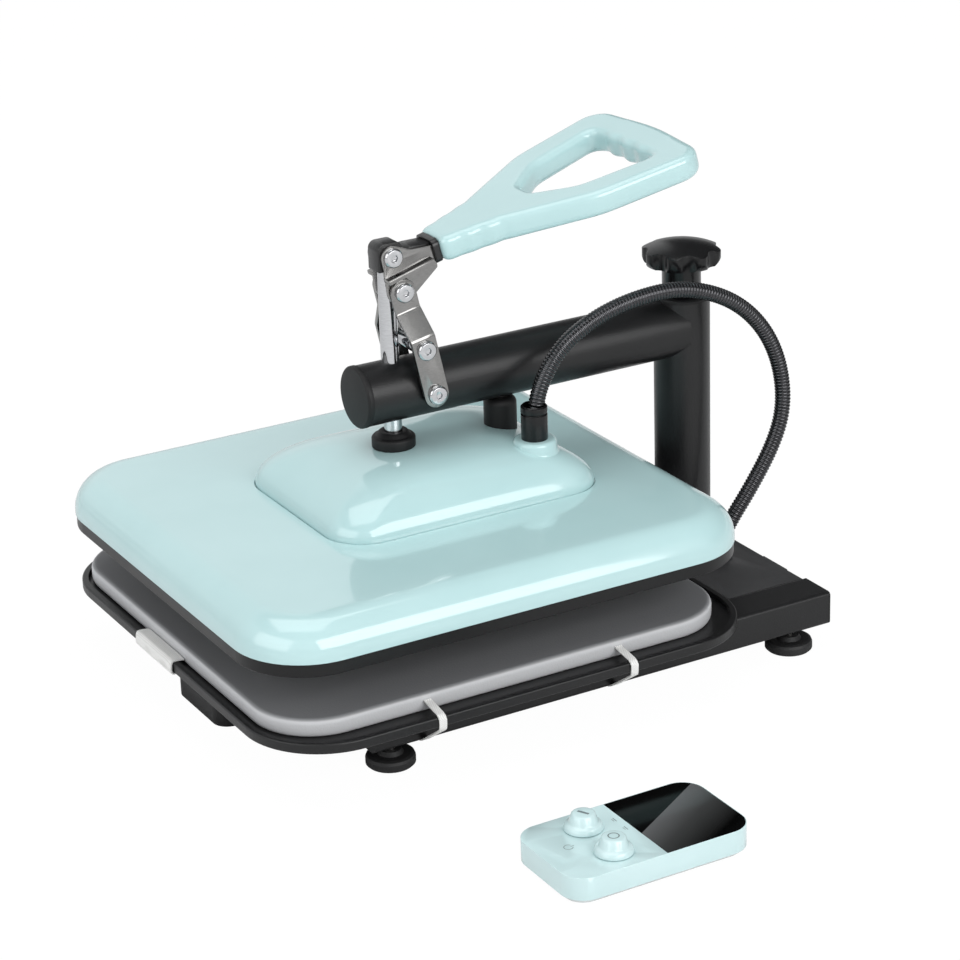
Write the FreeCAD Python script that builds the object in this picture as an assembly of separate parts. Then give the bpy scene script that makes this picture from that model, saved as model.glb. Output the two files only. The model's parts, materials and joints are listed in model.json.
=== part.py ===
import FreeCAD, Part
import math
import os

# Swing-away bench heat press with a loose control pad. Millimetres, +Z up, X across, +Y to the rear.
# The origin is on the bench under the press rod, so the rod's axis is the Z axis.

Vec = FreeCAD.Vector

# ---------------------------------------------------------------- clearances
RUN_GAP = 0.05          # radial running fit of a shaft in its bore
FACE_GAP = 0.3          # between parts that move past each other
THROUGH_GAP = 0.6       # around a part that only passes through a hole
SEAT_GAP = 0.5          # between an inner plate and the wall that surrounds it
OVERRUN = 1.0           # how far a cutting shape runs past the material
NEAR = 1e-4             # lengths that differ by less are taken as equal

# ---------------------------------------------------------------- underframe
FOOT_R = 18.75
FOOT_DISC_H = 9.0
FOOT_NECK_R = 8.0
FOOT_NECK_H = 3.0
FOOT_NECK_FLARE = 2.0
FOOT_EDGE = 3.0         # rounding of the disc's upper edge, drawn as two bevels
FOOT_HOLLOW_H = 2.0
FOOT_RING_W = 6.0       # width of the ring that the foot stands on
FOOT_SOCKET = 4.0       # how deep the stud is moulded in
FOOT_STUD_R = 4.0
FOOT_NUT_R = 7.0
FOOT_NUT_H = 5.0
FOOT_Y_FRONT = -94.5
FOOT_Y_REAR = 262.6
STUD_REACH = 9.0        # stud length inside the beam

BEAM_INSET_X = 36.3     # from the tray's sides in to the beams' outer faces
BEAM_W = 35.0
BEAM_Z = 20.2           # underside of the side beams
BEAM_H = 27.3
BEAM_FRONT_Y = -122.0
BEAM_REAR_Y = 290.0
BEAM_WALL = 2.5
BEAM_CORNER_R = 3.0
BEAM_INNER_R = 0.5
BEAM_NOSE = 6.0         # slanted lower front end
CAP_T = 2.0
CAP_PLUG_T = 8.0

RAIL_W = 30.0
RAIL_H = 20.0
RAIL_WALL = 2.0
RAIL_Y_REAR = 130.0

SPINE_HALF_W = 41.0
SPINE_Z = 2.1
SPINE_INSET_Y = 25.4    # from the tray's front back to the spine's
SPINE_CORNER_R = 13.0
SPINE_WALL = 2.0

DECK_FRONT_Y = 218.0
DECK_STEP = 1.0         # the deck lies this far below the beams' top
DECK_T = 3.0
DECK_SIDE_GAP = 0.6
DECK_FLOOR_T = 4.0

INLET_X = 95.0
INLET_W = 28.0
INLET_H = 19.0
INLET_DEPTH = 22.0
INLET_RECESS = 16.0
INLET_WALL = 2.2
INLET_FLANGE = 2.2      # how far the flange laps over the skirt
INLET_FLANGE_T = 2.0
INLET_FLANGE_RISE = 0.8  # lap above and below
INLET_CORNER_R = 1.0
INLET_SLANT = 4.0       # of the recess's two upper corners
INLET_PIN_PITCH = 7.0
INLET_PIN_RISE = 2.0    # earth pin above, the others below the middle
INLET_PIN_HALF_W = 1.0
INLET_PIN_HALF_H = 2.0
INLET_PIN_BACK = 2.0    # pin tips inside the opening

POWER_BOARD_HALF_X = 32.0
POWER_BOARD_HALF_Y = 50.0
POWER_BOARD_Y = -10.0
PEG_R = 3.0
PEG_H = 4.0
PEG_INSET = 6.0
RELAY_L = 30.0
RELAY_H = 18.0
RELAY_GAP = 3.0
TERMINAL_H = 12.0
TRANSFORMER_HALF_X = 28.0
TRANSFORMER_HALF_Y = 24.0
TRANSFORMER_H = 34.0
TRANSFORMER_Y = 94.0
WINDING_HALF_X = 16.0
WINDING_BULGE = 8.0
WINDING_INSET = 5.0

# ---------------------------------------------------------------- lower platen
TRAY_MARGIN_X = 14.6    # from the pad's side to the tray's, the mean of both sides
TRAY_MARGIN_Y = 12.9
TRAY_Y = 1.5
TRAY_CORNER_R = 65.0
TRAY_H = 8.3
TRAY_FLOOR_T = 4.0
TRAY_LIP_W = 5.0
TRAY_EDGE_R = 1.5

PAD_HALF_X = 194.0
PAD_HALF_Y = 193.0
PAD_X = -7.6            # the pad lies towards the far side of its tray
PAD_Y = -0.9
PAD_CORNER_R = 51.0
PAD_T = 14.0
PAD_EDGE_R = 3.5

STRAP_W = 6.0
STRAP_T = 1.2
STRAP_LAP = 25.0        # how far a strap runs back in under the rim
STRAP_Y_FRONT = -79.0
STRAP_Y_REAR = 84.0
TAG_X = -14.0
TAG_W = 66.0
TAG_T = 0.9
TAG_LAP = 9.0
BAND_FOLD_R = 0.3       # inside of a fold in the straps and the tag

# ---------------------------------------------------------------- post and lift
POST_Y = 265.5
POST_R = 22.8
POST_WALL = 2.5
POST_TOP_Z = 249.0
SPINDLE_R = 14.0
SPINDLE_TOP_Z = 200.0
SPINDLE_BORE_R = 9.0
SPINDLE_BORE_H = 80.0
SOCKET_R = 30.0
SLEEVE_R = 17.5
SLEEVE_Z = 62.0         # leaves room to lower the arm
SLEEVE_TOP_Z = 240.0
SLEEVE_FLANGE_T = 4.0
SLEEVE_LID_T = 4.0
LIFT_NUT_R = 11.0
LIFT_NUT_H = 20.0
BUSH_H = 25.0
POST_CAP_T = 3.0
POST_CAP_BEVEL = 1.0
SCREW_R = 8.0
SCREW_FOOT_Z = 150.0
SCREW_COLLAR_R = 12.0
SCREW_COLLAR_T = 4.0

KNOB_R = 32.0
KNOB_TOP_Z = 296.0
KNOB_LOBE_H = 11.0
KNOB_DOME_H = 7.0
KNOB_NECK_R = 15.7
KNOB_LOBES = 8
KNOB_LOBE_R = 7.0
KNOB_SCALLOP_CENTRE = 35.5
KNOB_RIM_OVER = 0.4     # how far the turned body stands outside the lobes at its widest
KNOB_SHOULDER_IN = 3.5
KNOB_CROWN_DROP = 1.6
KNOB_FOOT_IN = 3.0
KNOB_HOLLOW_R = 21.0
KNOB_HOLLOW_H = 8.0

# ---------------------------------------------------------------- arm
ARM_R = 24.0
ARM_WALL = 3.0
ARM_Z = 225.5
ARM_FRONT_Y = -32.0
ARM_TAIL_TRIM = 6.0     # the tube stops this far before the post's axis
ARM_CAP_L = 5.0
ARM_CAP_RISE = 0.5
ARM_CAP_PLUG = 5.0
ARM_CAP_BEVEL = 1.4
GUIDE_TUBE_R = 11.0
GUIDE_Y = 95.0
GUIDE_SLEEVE_R = 13.1
GUIDE_SLEEVE_EDGE_R = 6.0
GUIDE_BORE_DEPTH = 56.0
GUIDE_PIN_R = 5.0
GUIDE_PIN_FOOT_Z = 150.0

# ---------------------------------------------------------------- linkage
PIVOT_A_Z = 334.0       # bracket on the press rod
PIVOT_B_Y = 6.2         # bracket on the links
PIVOT_B_Z = 306.6
PIVOT_C_Y = 23.5        # links on the arm
BOLT_HEAD_R = 7.6
BOLT_HEAD_H = 3.8
BOLT_BEVEL = 1.2
BOLT_SOCKET_R = 2.9
BOLT_SOCKET_DEPTH = 2.4
PIN_A_R = 4.5
PIN_B_R = 4.0
PIN_C_R = 5.0
LINK_W = 20.5
LINK_T = 3.5
LINK_LOWER_X = 26.5     # inner face beside the arm
LINK_UPPER_X = 12.3     # inner face beside the bracket
LINK_JOG_START = 46.6   # along the link from the arm's pin
LINK_JOG_END = 67.0
LINK_OUTER_BEND_R = 6.0
LINK_INNER_BEND_R = 3.0
LINK_END_FLAT = 0.01    # half the flat left between the quarter rounds of an end
SPACER_ALONG = 38.1
SPACER_R = 6.0
SPACER_BOLT_R = 4.0
BOSS_R = 9.0

BRACKET_INNER_X = 8.5
BRACKET_T = 3.0
BRACKET_HEAD_R = 9.0    # round of the plate about the rod's pin
BRACKET_EAR_R = 11.0    # round of the plate about the links' pin
BRACKET_TOP_Z = 337.6
BRACKET_REAR_Y = 34.0
BRACKET_HEEL_Y = 38.2
BRACKET_HEEL_Z = 320.0
BRACKET_WAIST_R = 4.0
BRACKET_HEEL_R = 2.0
BRACKET_NAPE_R = 6.0
LIP_REACH = 6.5
LIP_T = 3.5
LIP_EDGE_R = 1.0
LIP_SLOPE = 15.9        # degrees
LIP_FRONT_Y = -6.0
LIP_GAP = 1.0           # between the lip and the links' round ends
LIP_L = 40.0
ROD_HEAD_HALF_Y = 10.5
ROD_HEAD_EDGE_R = 6.0
ROD_HEAD_FOOT_R = 1.0
ROD_HEAD_Z = 322.5

# ---------------------------------------------------------------- handle
HANDLE_TILT = 14.3      # degrees above level, rising to the rear
HANDLE_START_Y = 40.4
HANDLE_START_Z = 332.6
HANDLE_T = 20.5
HANDLE_EDGE_R = 5.5
HANDLE_HEEL_R = 6.0
HANDLE_NECK_HALF = 17.5
HANDLE_NECK_L = 48.0
HANDLE_NECK_END_HALF = 29.5
HANDLE_NECK_BEND_R = 50.0
HANDLE_SHOULDER_S = 115.0
HANDLE_SHOULDER_HALF = 63.5
HANDLE_SHOULDER_BEND_R = 60.0
HANDLE_BOW = 7.5        # how far the end bows out beyond its corners
HANDLE_BOW_R = 200.0
HANDLE_HALF_W = 77.5
HANDLE_CORNER_R = 20.0
HANDLE_L = 212.5
HOLE_START_S = 88.0
HOLE_NOSE_HALF = 9.0
HOLE_NOSE_R = 8.0
HOLE_SHOULDER_S = 116.0
HOLE_SHOULDER_HALF = 33.0
HOLE_SHOULDER_BEND_R = 30.0
BAR_W = 33.5            # depth of the bar beyond the hole
HOLE_END_HALF = 45.0
HOLE_CORNER_R = 6.5
TANG_W = 14.0
TANG_T = 12.0
TANG_REACH = 60.0
SHANK_FRONT_Y = 14.0
SHANK_TOP_Z = 339.0
SHANK_BOTTOM_Z = 322.0
SHANK_CROWN_R = 4.0
SHANK_HEEL_R = 2.0
SHANK_CHIN = 4.0        # how far the underside rises to the rear
FERRULE_L = 5.0
FERRULE_HALF_W = 13.5
FERRULE_DROP = 0.6      # below the grip's faces
FERRULE_CORNER_R = 5.0

# ---------------------------------------------------------------- upper platen
COVER_HALF_X = 198.5
COVER_HALF_Y = 208.0
COVER_Y = 1.0
COVER_CORNER_R = 58.6
COVER_Z = 115.2         # bottom edge of the cover
COVER_H = 28.8
COVER_SHOULDER_R = 26.0
COVER_WALL = 3.0
RIM_H = 10.4
RIM_INSET = 0.8
RIM_W = 6.5
RIM_EDGE_R = 1.5
PLATE_RECESS = 0.2      # the plate's face above the rim's lower edge
PLATE_T = 12.0
ELEMENT_HALF = 4.0      # half the side of its square section
ELEMENT_ROWS = 7
ELEMENT_PITCH = 50.0
ELEMENT_HALF_X = 150.0
INSULATION_T = 8.0
INSULATION_INSET = 6.0
BACKING_HALF_X = 130.0
BACKING_HALF_Y = 150.0
BACKING_T = 5.0
BACKING_CORNER_R = 20.0
STANDOFF_R = 7.0
STANDOFF_X = 100.0
STANDOFF_Y = 125.0
CUTOUT_R = 8.0
CUTOUT_H = 10.0
CUTOUT_NECK_IN = 3.0
CUTOUT_NECK_H = 4.0
CUTOUT_Y = 75.0

DOME_HALF_X = 90.0
DOME_FRONT_Y = -90.0
DOME_REAR_Y = 140.0
DOME_CORNER_R = 34.0
DOME_H = 36.0
DOME_SIDE_REACH = 61.2  # how far in the left and right slopes reach the crown
DOME_END_REACH = 82.3
DOME_LEVELS = 7         # plan outlines that the slopes are drawn through
DOME_CORNER_DRAW = 0.35 # share of the corner radius lost at the crown
DOME_WALL = 3.0
DOME_INNER_LEVELS = 4    # the inner face needs fewer outlines
GLAND_X = 50.0
GLAND_Y = 96.5
GLAND_R = 10.4
GLAND_H = 27.5
GLAND_THROAT = 5.0      # length of the close bore, below the mouth that the conduit leans in
GLAND_MOUTH = 2.2       # how much wider the bore is at the top
GLAND_BOSS_R = 17.0
GLAND_BOSS_RISE = 0.7
GLAND_BOSS_H = 20.0
GLAND_BOSS_EDGE_R = 3.0
GLAND_SEAT_W = 1.0      # ring of the housing left under the conduit's end
ROD_R = 7.0
ROD_FLANGE_R = 22.0
ROD_FLANGE_H = 8.0
ROD_FLANGE_BEVEL = 3.0
COLLAR_R = 17.0
COLLAR_H = 9.0
COLLAR_BEVEL = 1.5
COLLAR_NECK_FOOT_R = 14.0
COLLAR_NECK_R = 11.0
COLLAR_NECK_H = 3.5

# ---------------------------------------------------------------- conduit
CONDUIT_R = 6.5
BASE_GLAND_X = 60.0
BASE_GLAND_Y = 259.8
BASE_GLAND_H = 8.0
BASE_GLAND_BORE_Y = 259.2    # where the slanted bore starts on the deck
BASE_GLAND_LEAN = 2.4   # how far the bore leans to the rear over the collar's height
CONDUIT_HOLE_SHIFT = 1.0
GLAND_RIM_R = 1.2
GLAND_GROOVE = 0.9
GLAND_GROOVE_SHARE = 0.76
CONDUIT_TURN_SHARE = 0.45  # of a run's length taken up by the arc at either end
CONDUIT_INSET = 6.0     # how far the conduit's upper end sits above its gland's foot
CONDUIT_POINTS = [
    (50.0, 97.7, 206.7),
    (50.0, 104.1, 225.6),
    (50.0, 115.1, 242.3),
    (50.0, 130.9, 256.2),
    (50.5, 157.8, 269.4),
    (51.5, 191.0, 276.8),
    (52.7, 227.0, 277.9),
    (54.0, 262.0, 267.5),
    (55.0, 290.0, 249.5),
    (56.0, 311.0, 224.0),
    (57.0, 323.0, 193.0),
    (59.0, 324.5, 160.0),
    (60.5, 314.0, 132.0),
    (61.0, 292.0, 99.5),
    (60.3, 266.6, 67.2),
    (60.0, 258.6, 46.9),
    (60.0, 256.4, 25.2),
]

# ---------------------------------------------------------------- control pad
PAD_BOX_X = 371.0
PAD_BOX_Y = -20.5
PAD_BOX_HALF_X = 41.5
PAD_BOX_HALF_Y = 73.5
PAD_BOX_H = 22.0
PAD_BOX_CORNER_R = 18.0
PAD_BOX_EDGE_R = 2.0
PAD_BOX_WALL = 2.0
PAD_SPLIT_Z = 5.0
PAD_FLOOR_INSET = 4.5
PAD_FOOT_R = 4.0
PAD_FOOT_H = 1.0
PAD_FOOT_INSET = 14.0
DISPLAY_FRONT_Y = -19.5
DISPLAY_T = 1.5
DISPLAY_INSET = 0.6
DIAL_Y = -49.0
DIAL_PITCH = 39.0
DIAL_BASE_R = 14.0
DIAL_WAIST_R = 10.5
DIAL_TOP_R = 8.5
DIAL_H = 12.0
DIAL_STEP_H = 4.0
DIAL_STEP_IN = 1.2
DIAL_SKIRT_H = 1.0
DIAL_EDGE = 0.8
DIAL_SHAFT_R = 3.0
DIAL_SHAFT_L = 10.0
BOARD_T = 1.6
BOARD_Z = 10.0
BOARD_GAP = 4.0         # between the board's edge and the shell
BOARD_POST_R = 3.0
BOARD_POST_INSET_X = 13.5
BOARD_POST_INSET_Y = 15.5
ENCODER_HALF = 6.0
ENCODER_H = 6.0

# ---------------------------------------------------------------- worked out from the above
BEAM_TOP_Z = BEAM_Z + BEAM_H
DECK_TOP_Z = BEAM_TOP_Z - DECK_STEP
TRAY_FLOOR_Z = BEAM_TOP_Z + TRAY_FLOOR_T
TRAY_LIP_Z = BEAM_TOP_Z + TRAY_H
TRAY_HALF_X = PAD_HALF_X + TRAY_MARGIN_X
TRAY_HALF_Y = PAD_HALF_Y + TRAY_MARGIN_Y
TRAY_FRONT_Y = TRAY_Y - TRAY_HALF_Y
BEAM_OUTER_X = TRAY_HALF_X - BEAM_INSET_X
BEAM_INNER_X = BEAM_OUTER_X - BEAM_W
BEAM_MID_X = BEAM_OUTER_X - BEAM_W / 2
SPINE_FRONT_Y = TRAY_FRONT_Y + SPINE_INSET_Y
POST_BORE_R = POST_R - POST_WALL
POST_FOOT_Z = SLEEVE_Z + SLEEVE_FLANGE_T + RUN_GAP
ARM_BORE_R = ARM_R - ARM_WALL
COVER_TOP_Z = COVER_Z + COVER_H
DOME_TOP_Z = COVER_TOP_Z + DOME_H
RIM_Z = COVER_Z - RIM_H
RIM_HALF_X = COVER_HALF_X - RIM_INSET
RIM_HALF_Y = COVER_HALF_Y - RIM_INSET
PLATE_Z = RIM_Z + PLATE_RECESS
PLATE_TOP_Z = PLATE_Z + PLATE_T
PLATE_HALF_X = RIM_HALF_X - RIM_W - SEAT_GAP
PLATE_HALF_Y = RIM_HALF_Y - RIM_W - SEAT_GAP
INSULATION_Z = PLATE_TOP_Z + 2 * ELEMENT_HALF + SEAT_GAP
BACKING_Z = INSULATION_Z + INSULATION_T + SEAT_GAP
BACKING_TOP_Z = BACKING_Z + BACKING_T
KNOB_LOBE_Z = KNOB_TOP_Z - KNOB_DOME_H - KNOB_LOBE_H
LINK_L = math.hypot(PIVOT_B_Y - PIVOT_C_Y, PIVOT_B_Z - ARM_Z)
LINK_LEAN = math.degrees(math.atan2(PIVOT_C_Y - PIVOT_B_Y, PIVOT_B_Z - ARM_Z))
GUIDE_SLEEVE_TOP_Z = ARM_Z - ARM_R - FACE_GAP
BRACKET_OUTER_X = BRACKET_INNER_X + BRACKET_T
LINK_HEAD_X = LINK_LOWER_X + LINK_T
DIAL_Z = PAD_BOX_H + FACE_GAP


# ---------------------------------------------------------------- shape helpers
def block(x0, x1, y0, y1, z0, z1):
    return Part.makeBox(x1 - x0, y1 - y0, z1 - z0, Vec(x0, y0, z0))


def rod_x(radius, x0, x1, y, z):
    return Part.makeCylinder(radius, x1 - x0, Vec(x0, y, z), Vec(1, 0, 0))


def rod_y(radius, y0, y1, x, z):
    return Part.makeCylinder(radius, y1 - y0, Vec(x, y0, z), Vec(0, 1, 0))


def rod_z(radius, z0, z1, x=0.0, y=0.0):
    return Part.makeCylinder(radius, z1 - z0, Vec(x, y, z0))


def ring_z(outer, inner, z0, z1, x=0.0, y=0.0):
    return rod_z(outer, z0, z1, x, y).cut(rod_z(inner, z0 - OVERRUN, z1 + OVERRUN, x, y))


def rounded_face(corners, place):
    """Face inside a closed outline of (u, v, radius) corners; place turns (u, v) into a point."""
    turns = []
    for i, (u, v, radius) in enumerate(corners):
        here = Vec(u, v, 0)
        before = Vec(corners[i - 1][0], corners[i - 1][1], 0)
        after_corner = corners[(i + 1) % len(corners)]
        after = Vec(after_corner[0], after_corner[1], 0)
        back = (before - here).normalize()
        ahead = (after - here).normalize()
        half_angle = back.getAngle(ahead) / 2
        reach = radius / math.tan(half_angle)
        inward = Vec(back + ahead).normalize()
        crown = here + inward * (radius / math.sin(half_angle) - radius)
        turns.append((here + back * reach, crown, here + ahead * reach))
    edges = []
    for i, (start, crown, stop) in enumerate(turns):
        if (stop - start).Length > NEAR:
            points = [place(p.x, p.y) for p in (start, crown, stop)]
            edges.append(Part.Arc(*points).toShape())
        following = turns[(i + 1) % len(turns)][0]
        if (following - stop).Length > NEAR:
            edges.append(Part.LineSegment(place(stop.x, stop.y), place(following.x, following.y)).toShape())
    return Part.Face(Part.Wire(Part.__sortEdges__(edges)))


def rectangle_corners(x0, x1, y0, y1, radius):
    return [(x0, y0, radius), (x1, y0, radius), (x1, y1, radius), (x0, y1, radius)]


def rounded_block(x0, x1, y0, y1, z0, z1, radius):
    """Block with rounded upright edges."""
    face = rounded_face(rectangle_corners(x0, x1, y0, y1, radius), lambda u, v: Vec(u, v, z0))
    return face.extrude(Vec(0, 0, z1 - z0))


def centred_block(half_x, half_y, y, z0, z1, radius):
    return rounded_block(-half_x, half_x, y - half_y, y + half_y, z0, z1, radius)


def profile_along_x(corners, x0, x1):
    """Prism along X of an outline given as (y, z, radius)."""
    return rounded_face(corners, lambda u, v: Vec(x0, u, v)).extrude(Vec(x1 - x0, 0, 0))


def profile_along_y(corners, y0, y1):
    """Prism along Y of an outline given as (x, z, radius)."""
    return rounded_face(corners, lambda u, v: Vec(u, y0, v)).extrude(Vec(0, y1 - y0, 0))


def revolved(profile, x=0.0, y=0.0):
    """Solid of revolution about an upright axis from (radius, z) points, straight between them."""
    points = [Vec(x + r, y, z) for r, z in profile]
    wire = Part.makePolygon(points + [points[0]])
    return Part.Face(wire).revolve(Vec(x, y, 0), Vec(0, 0, 1), 360)


def edges_at_z(shape, z):
    return [e for e in shape.Edges if all(abs(v.Z - z) < NEAR for v in e.Vertexes) and
            abs(e.CenterOfMass.z - z) < NEAR]


def rounded_at_z(shape, z, radius):
    return shape.makeFillet(radius, edges_at_z(shape, z))


def mirrored(shape):
    """Copy on the other side of the plane X = 0."""
    return shape.mirror(Vec(0, 0, 0), Vec(1, 0, 0))


def both_sides(shape):
    return [shape, mirrored(shape)]


def fused(shapes):
    return shapes[0].multiFuse(shapes[1:]).removeSplitter()


def button_head(x_face, outward, y, z):
    """Bevelled bolt head with a hexagon socket, standing outward (+1 or -1) from the face at x_face."""
    full = Part.makeCylinder(BOLT_HEAD_R, BOLT_HEAD_H, Vec(x_face, y, z), Vec(outward, 0, 0))
    rim = [e for e in full.Edges if abs(e.CenterOfMass.x - x_face - outward * BOLT_HEAD_H) < NEAR]
    head = full.makeChamfer(BOLT_BEVEL, rim)
    floor_x = x_face + outward * (BOLT_HEAD_H - BOLT_SOCKET_DEPTH)
    corners = [Vec(floor_x, y + BOLT_SOCKET_R * math.cos(i * math.pi / 3),
                   z + BOLT_SOCKET_R * math.sin(i * math.pi / 3))
               for i in range(7)]
    socket = Part.Face(Part.makePolygon(corners)).extrude(Vec(outward * (BOLT_SOCKET_DEPTH + OVERRUN), 0, 0))
    return head.cut(socket)


# ---------------------------------------------------------------- underframe
def beam_corners(inset):
    return rectangle_corners(BEAM_INNER_X + inset, BEAM_OUTER_X - inset, BEAM_Z + inset, BEAM_TOP_Z - inset,
                             BEAM_CORNER_R - min(inset, BEAM_CORNER_R - BEAM_INNER_R))


def nose_cut():
    """Wedge that slants the lower front end of a beam and its cap."""
    front = BEAM_FRONT_Y - OVERRUN
    corners = [(front, BEAM_Z - OVERRUN, 0), (BEAM_FRONT_Y + BEAM_NOSE, BEAM_Z - OVERRUN, 0),
               (front, BEAM_Z + BEAM_NOSE + OVERRUN, 0)]
    return profile_along_x(corners, BEAM_INNER_X - OVERRUN, BEAM_OUTER_X + OVERRUN)


def right_side_beam():
    outer = profile_along_y(beam_corners(0), BEAM_FRONT_Y + CAP_T, BEAM_REAR_Y - CAP_T)
    inner = profile_along_y(beam_corners(BEAM_WALL), BEAM_FRONT_Y, BEAM_REAR_Y)
    beam = outer.cut(inner).cut(nose_cut())
    for y in (FOOT_Y_FRONT, FOOT_Y_REAR):
        beam = beam.cut(rod_z(FOOT_STUD_R, BEAM_Z - OVERRUN, BEAM_Z + BEAM_WALL + OVERRUN, BEAM_MID_X, y))
    return beam


def left_side_beam():
    return mirrored(right_side_beam())


def beam_end_caps():
    """Plugs that close both ends of both beams."""
    caps = []
    for plate_y, plug_y in ((BEAM_FRONT_Y, BEAM_FRONT_Y + CAP_T),
                            (BEAM_REAR_Y - CAP_T, BEAM_REAR_Y - CAP_T - CAP_PLUG_T)):
        plate = profile_along_y(beam_corners(0), plate_y, plate_y + CAP_T)
        plug = profile_along_y(beam_corners(BEAM_WALL), plug_y, plug_y + CAP_PLUG_T)
        caps += both_sides(fused([plate, plug]).cut(nose_cut()))
    return Part.Compound(caps)


def foot_places():
    return [(x, y) for x in (-BEAM_MID_X, BEAM_MID_X) for y in (FOOT_Y_FRONT, FOOT_Y_REAR)]


def rubber_feet():
    """Mushroom feet, slightly hollow underneath so that they grip the bench."""
    edge = FOOT_EDGE
    bevel = edge * (1 - math.sqrt(0.5))
    neck_z = FOOT_DISC_H + FOOT_NECK_H
    socket_z = FOOT_DISC_H - FOOT_SOCKET
    profile = [(0, FOOT_HOLLOW_H), (FOOT_R - FOOT_RING_W, 0), (FOOT_R - edge / 2, 0), (FOOT_R, edge / 2),
               (FOOT_R, FOOT_DISC_H - edge), (FOOT_R - bevel, FOOT_DISC_H - bevel),
               (FOOT_R - edge, FOOT_DISC_H), (FOOT_NECK_R + FOOT_NECK_FLARE, FOOT_DISC_H),
               (FOOT_NECK_R, neck_z), (FOOT_STUD_R, neck_z),
               (FOOT_STUD_R, socket_z), (0, socket_z)]
    return Part.Compound([revolved(profile, x, y) for x, y in foot_places()])


def foot_studs():
    """Threaded studs with a lock nut under each beam."""
    studs = []
    for x, y in foot_places():
        stud = rod_z(FOOT_STUD_R, FOOT_DISC_H - FOOT_SOCKET, BEAM_Z + STUD_REACH, x, y)
        corners = [Vec(x + FOOT_NUT_R * math.cos(i * math.pi / 3), y + FOOT_NUT_R * math.sin(i * math.pi / 3),
                       BEAM_Z - FOOT_NUT_H) for i in range(7)]
        nut = Part.Face(Part.makePolygon(corners)).extrude(Vec(0, 0, FOOT_NUT_H))
        studs.append(fused([stud, nut]))
    return Part.Compound(studs)


def cross_rails():
    """Short square tubes that tie the spine to the side beams, two on each side."""
    rails = []
    for y in (FOOT_Y_FRONT, RAIL_Y_REAR):
        outer = block(SPINE_HALF_W, BEAM_INNER_X, y - RAIL_W / 2, y + RAIL_W / 2, BEAM_TOP_Z - RAIL_H,
                      BEAM_TOP_Z)
        inner = block(SPINE_HALF_W - OVERRUN, BEAM_INNER_X + OVERRUN, y - RAIL_W / 2 + RAIL_WALL,
                      y + RAIL_W / 2 - RAIL_WALL,
                      BEAM_TOP_Z - RAIL_H + RAIL_WALL, BEAM_TOP_Z - RAIL_WALL)
        rails += both_sides(outer.cut(inner))
    return Part.Compound(rails)


def spine_channel():
    """Sheet-metal trough under the middle of the tray that houses the power electronics."""
    outer = rounded_block(-SPINE_HALF_W, SPINE_HALF_W, SPINE_FRONT_Y, DECK_FRONT_Y, SPINE_Z, BEAM_TOP_Z,
                          SPINE_CORNER_R)
    inner = rounded_block(-SPINE_HALF_W + SPINE_WALL, SPINE_HALF_W - SPINE_WALL, SPINE_FRONT_Y + SPINE_WALL,
                          DECK_FRONT_Y - SPINE_WALL, SPINE_Z + SPINE_WALL, BEAM_TOP_Z + OVERRUN,
                          SPINE_CORNER_R - SPINE_WALL)
    return outer.cut(inner)


def power_board():
    """Circuit board on four pegs, with a relay and a row of terminals."""
    z = SPINE_Z + SPINE_WALL
    board_z = z + PEG_H
    top = board_z + BOARD_T
    mid_y = POWER_BOARD_Y
    board = block(-POWER_BOARD_HALF_X, POWER_BOARD_HALF_X, mid_y - POWER_BOARD_HALF_Y,
                  mid_y + POWER_BOARD_HALF_Y,
                  board_z, top)
    peg_x = POWER_BOARD_HALF_X - PEG_INSET
    peg_y = POWER_BOARD_HALF_Y - PEG_INSET
    pegs = [rod_z(PEG_R, z, board_z, x, mid_y + y) for x in (-peg_x, peg_x) for y in (-peg_y, peg_y)]
    relay = block(-peg_x, -RELAY_GAP, mid_y - RELAY_L, mid_y, top, top + RELAY_H)
    terminals = block(RELAY_GAP, peg_x, mid_y - RELAY_L, mid_y, top, top + TERMINAL_H)
    return fused([board, relay, terminals] + pegs)


def power_transformer():
    z = SPINE_Z + SPINE_WALL
    y = TRANSFORMER_Y
    core = block(-TRANSFORMER_HALF_X, TRANSFORMER_HALF_X, y - TRANSFORMER_HALF_Y, y + TRANSFORMER_HALF_Y,
                 z, z + TRANSFORMER_H)
    reach = TRANSFORMER_HALF_Y + WINDING_BULGE
    winding = block(-WINDING_HALF_X, WINDING_HALF_X, y - reach, y + reach, z + WINDING_INSET,
                    z + TRANSFORMER_H - WINDING_INSET)
    return fused([core, winding])


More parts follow.
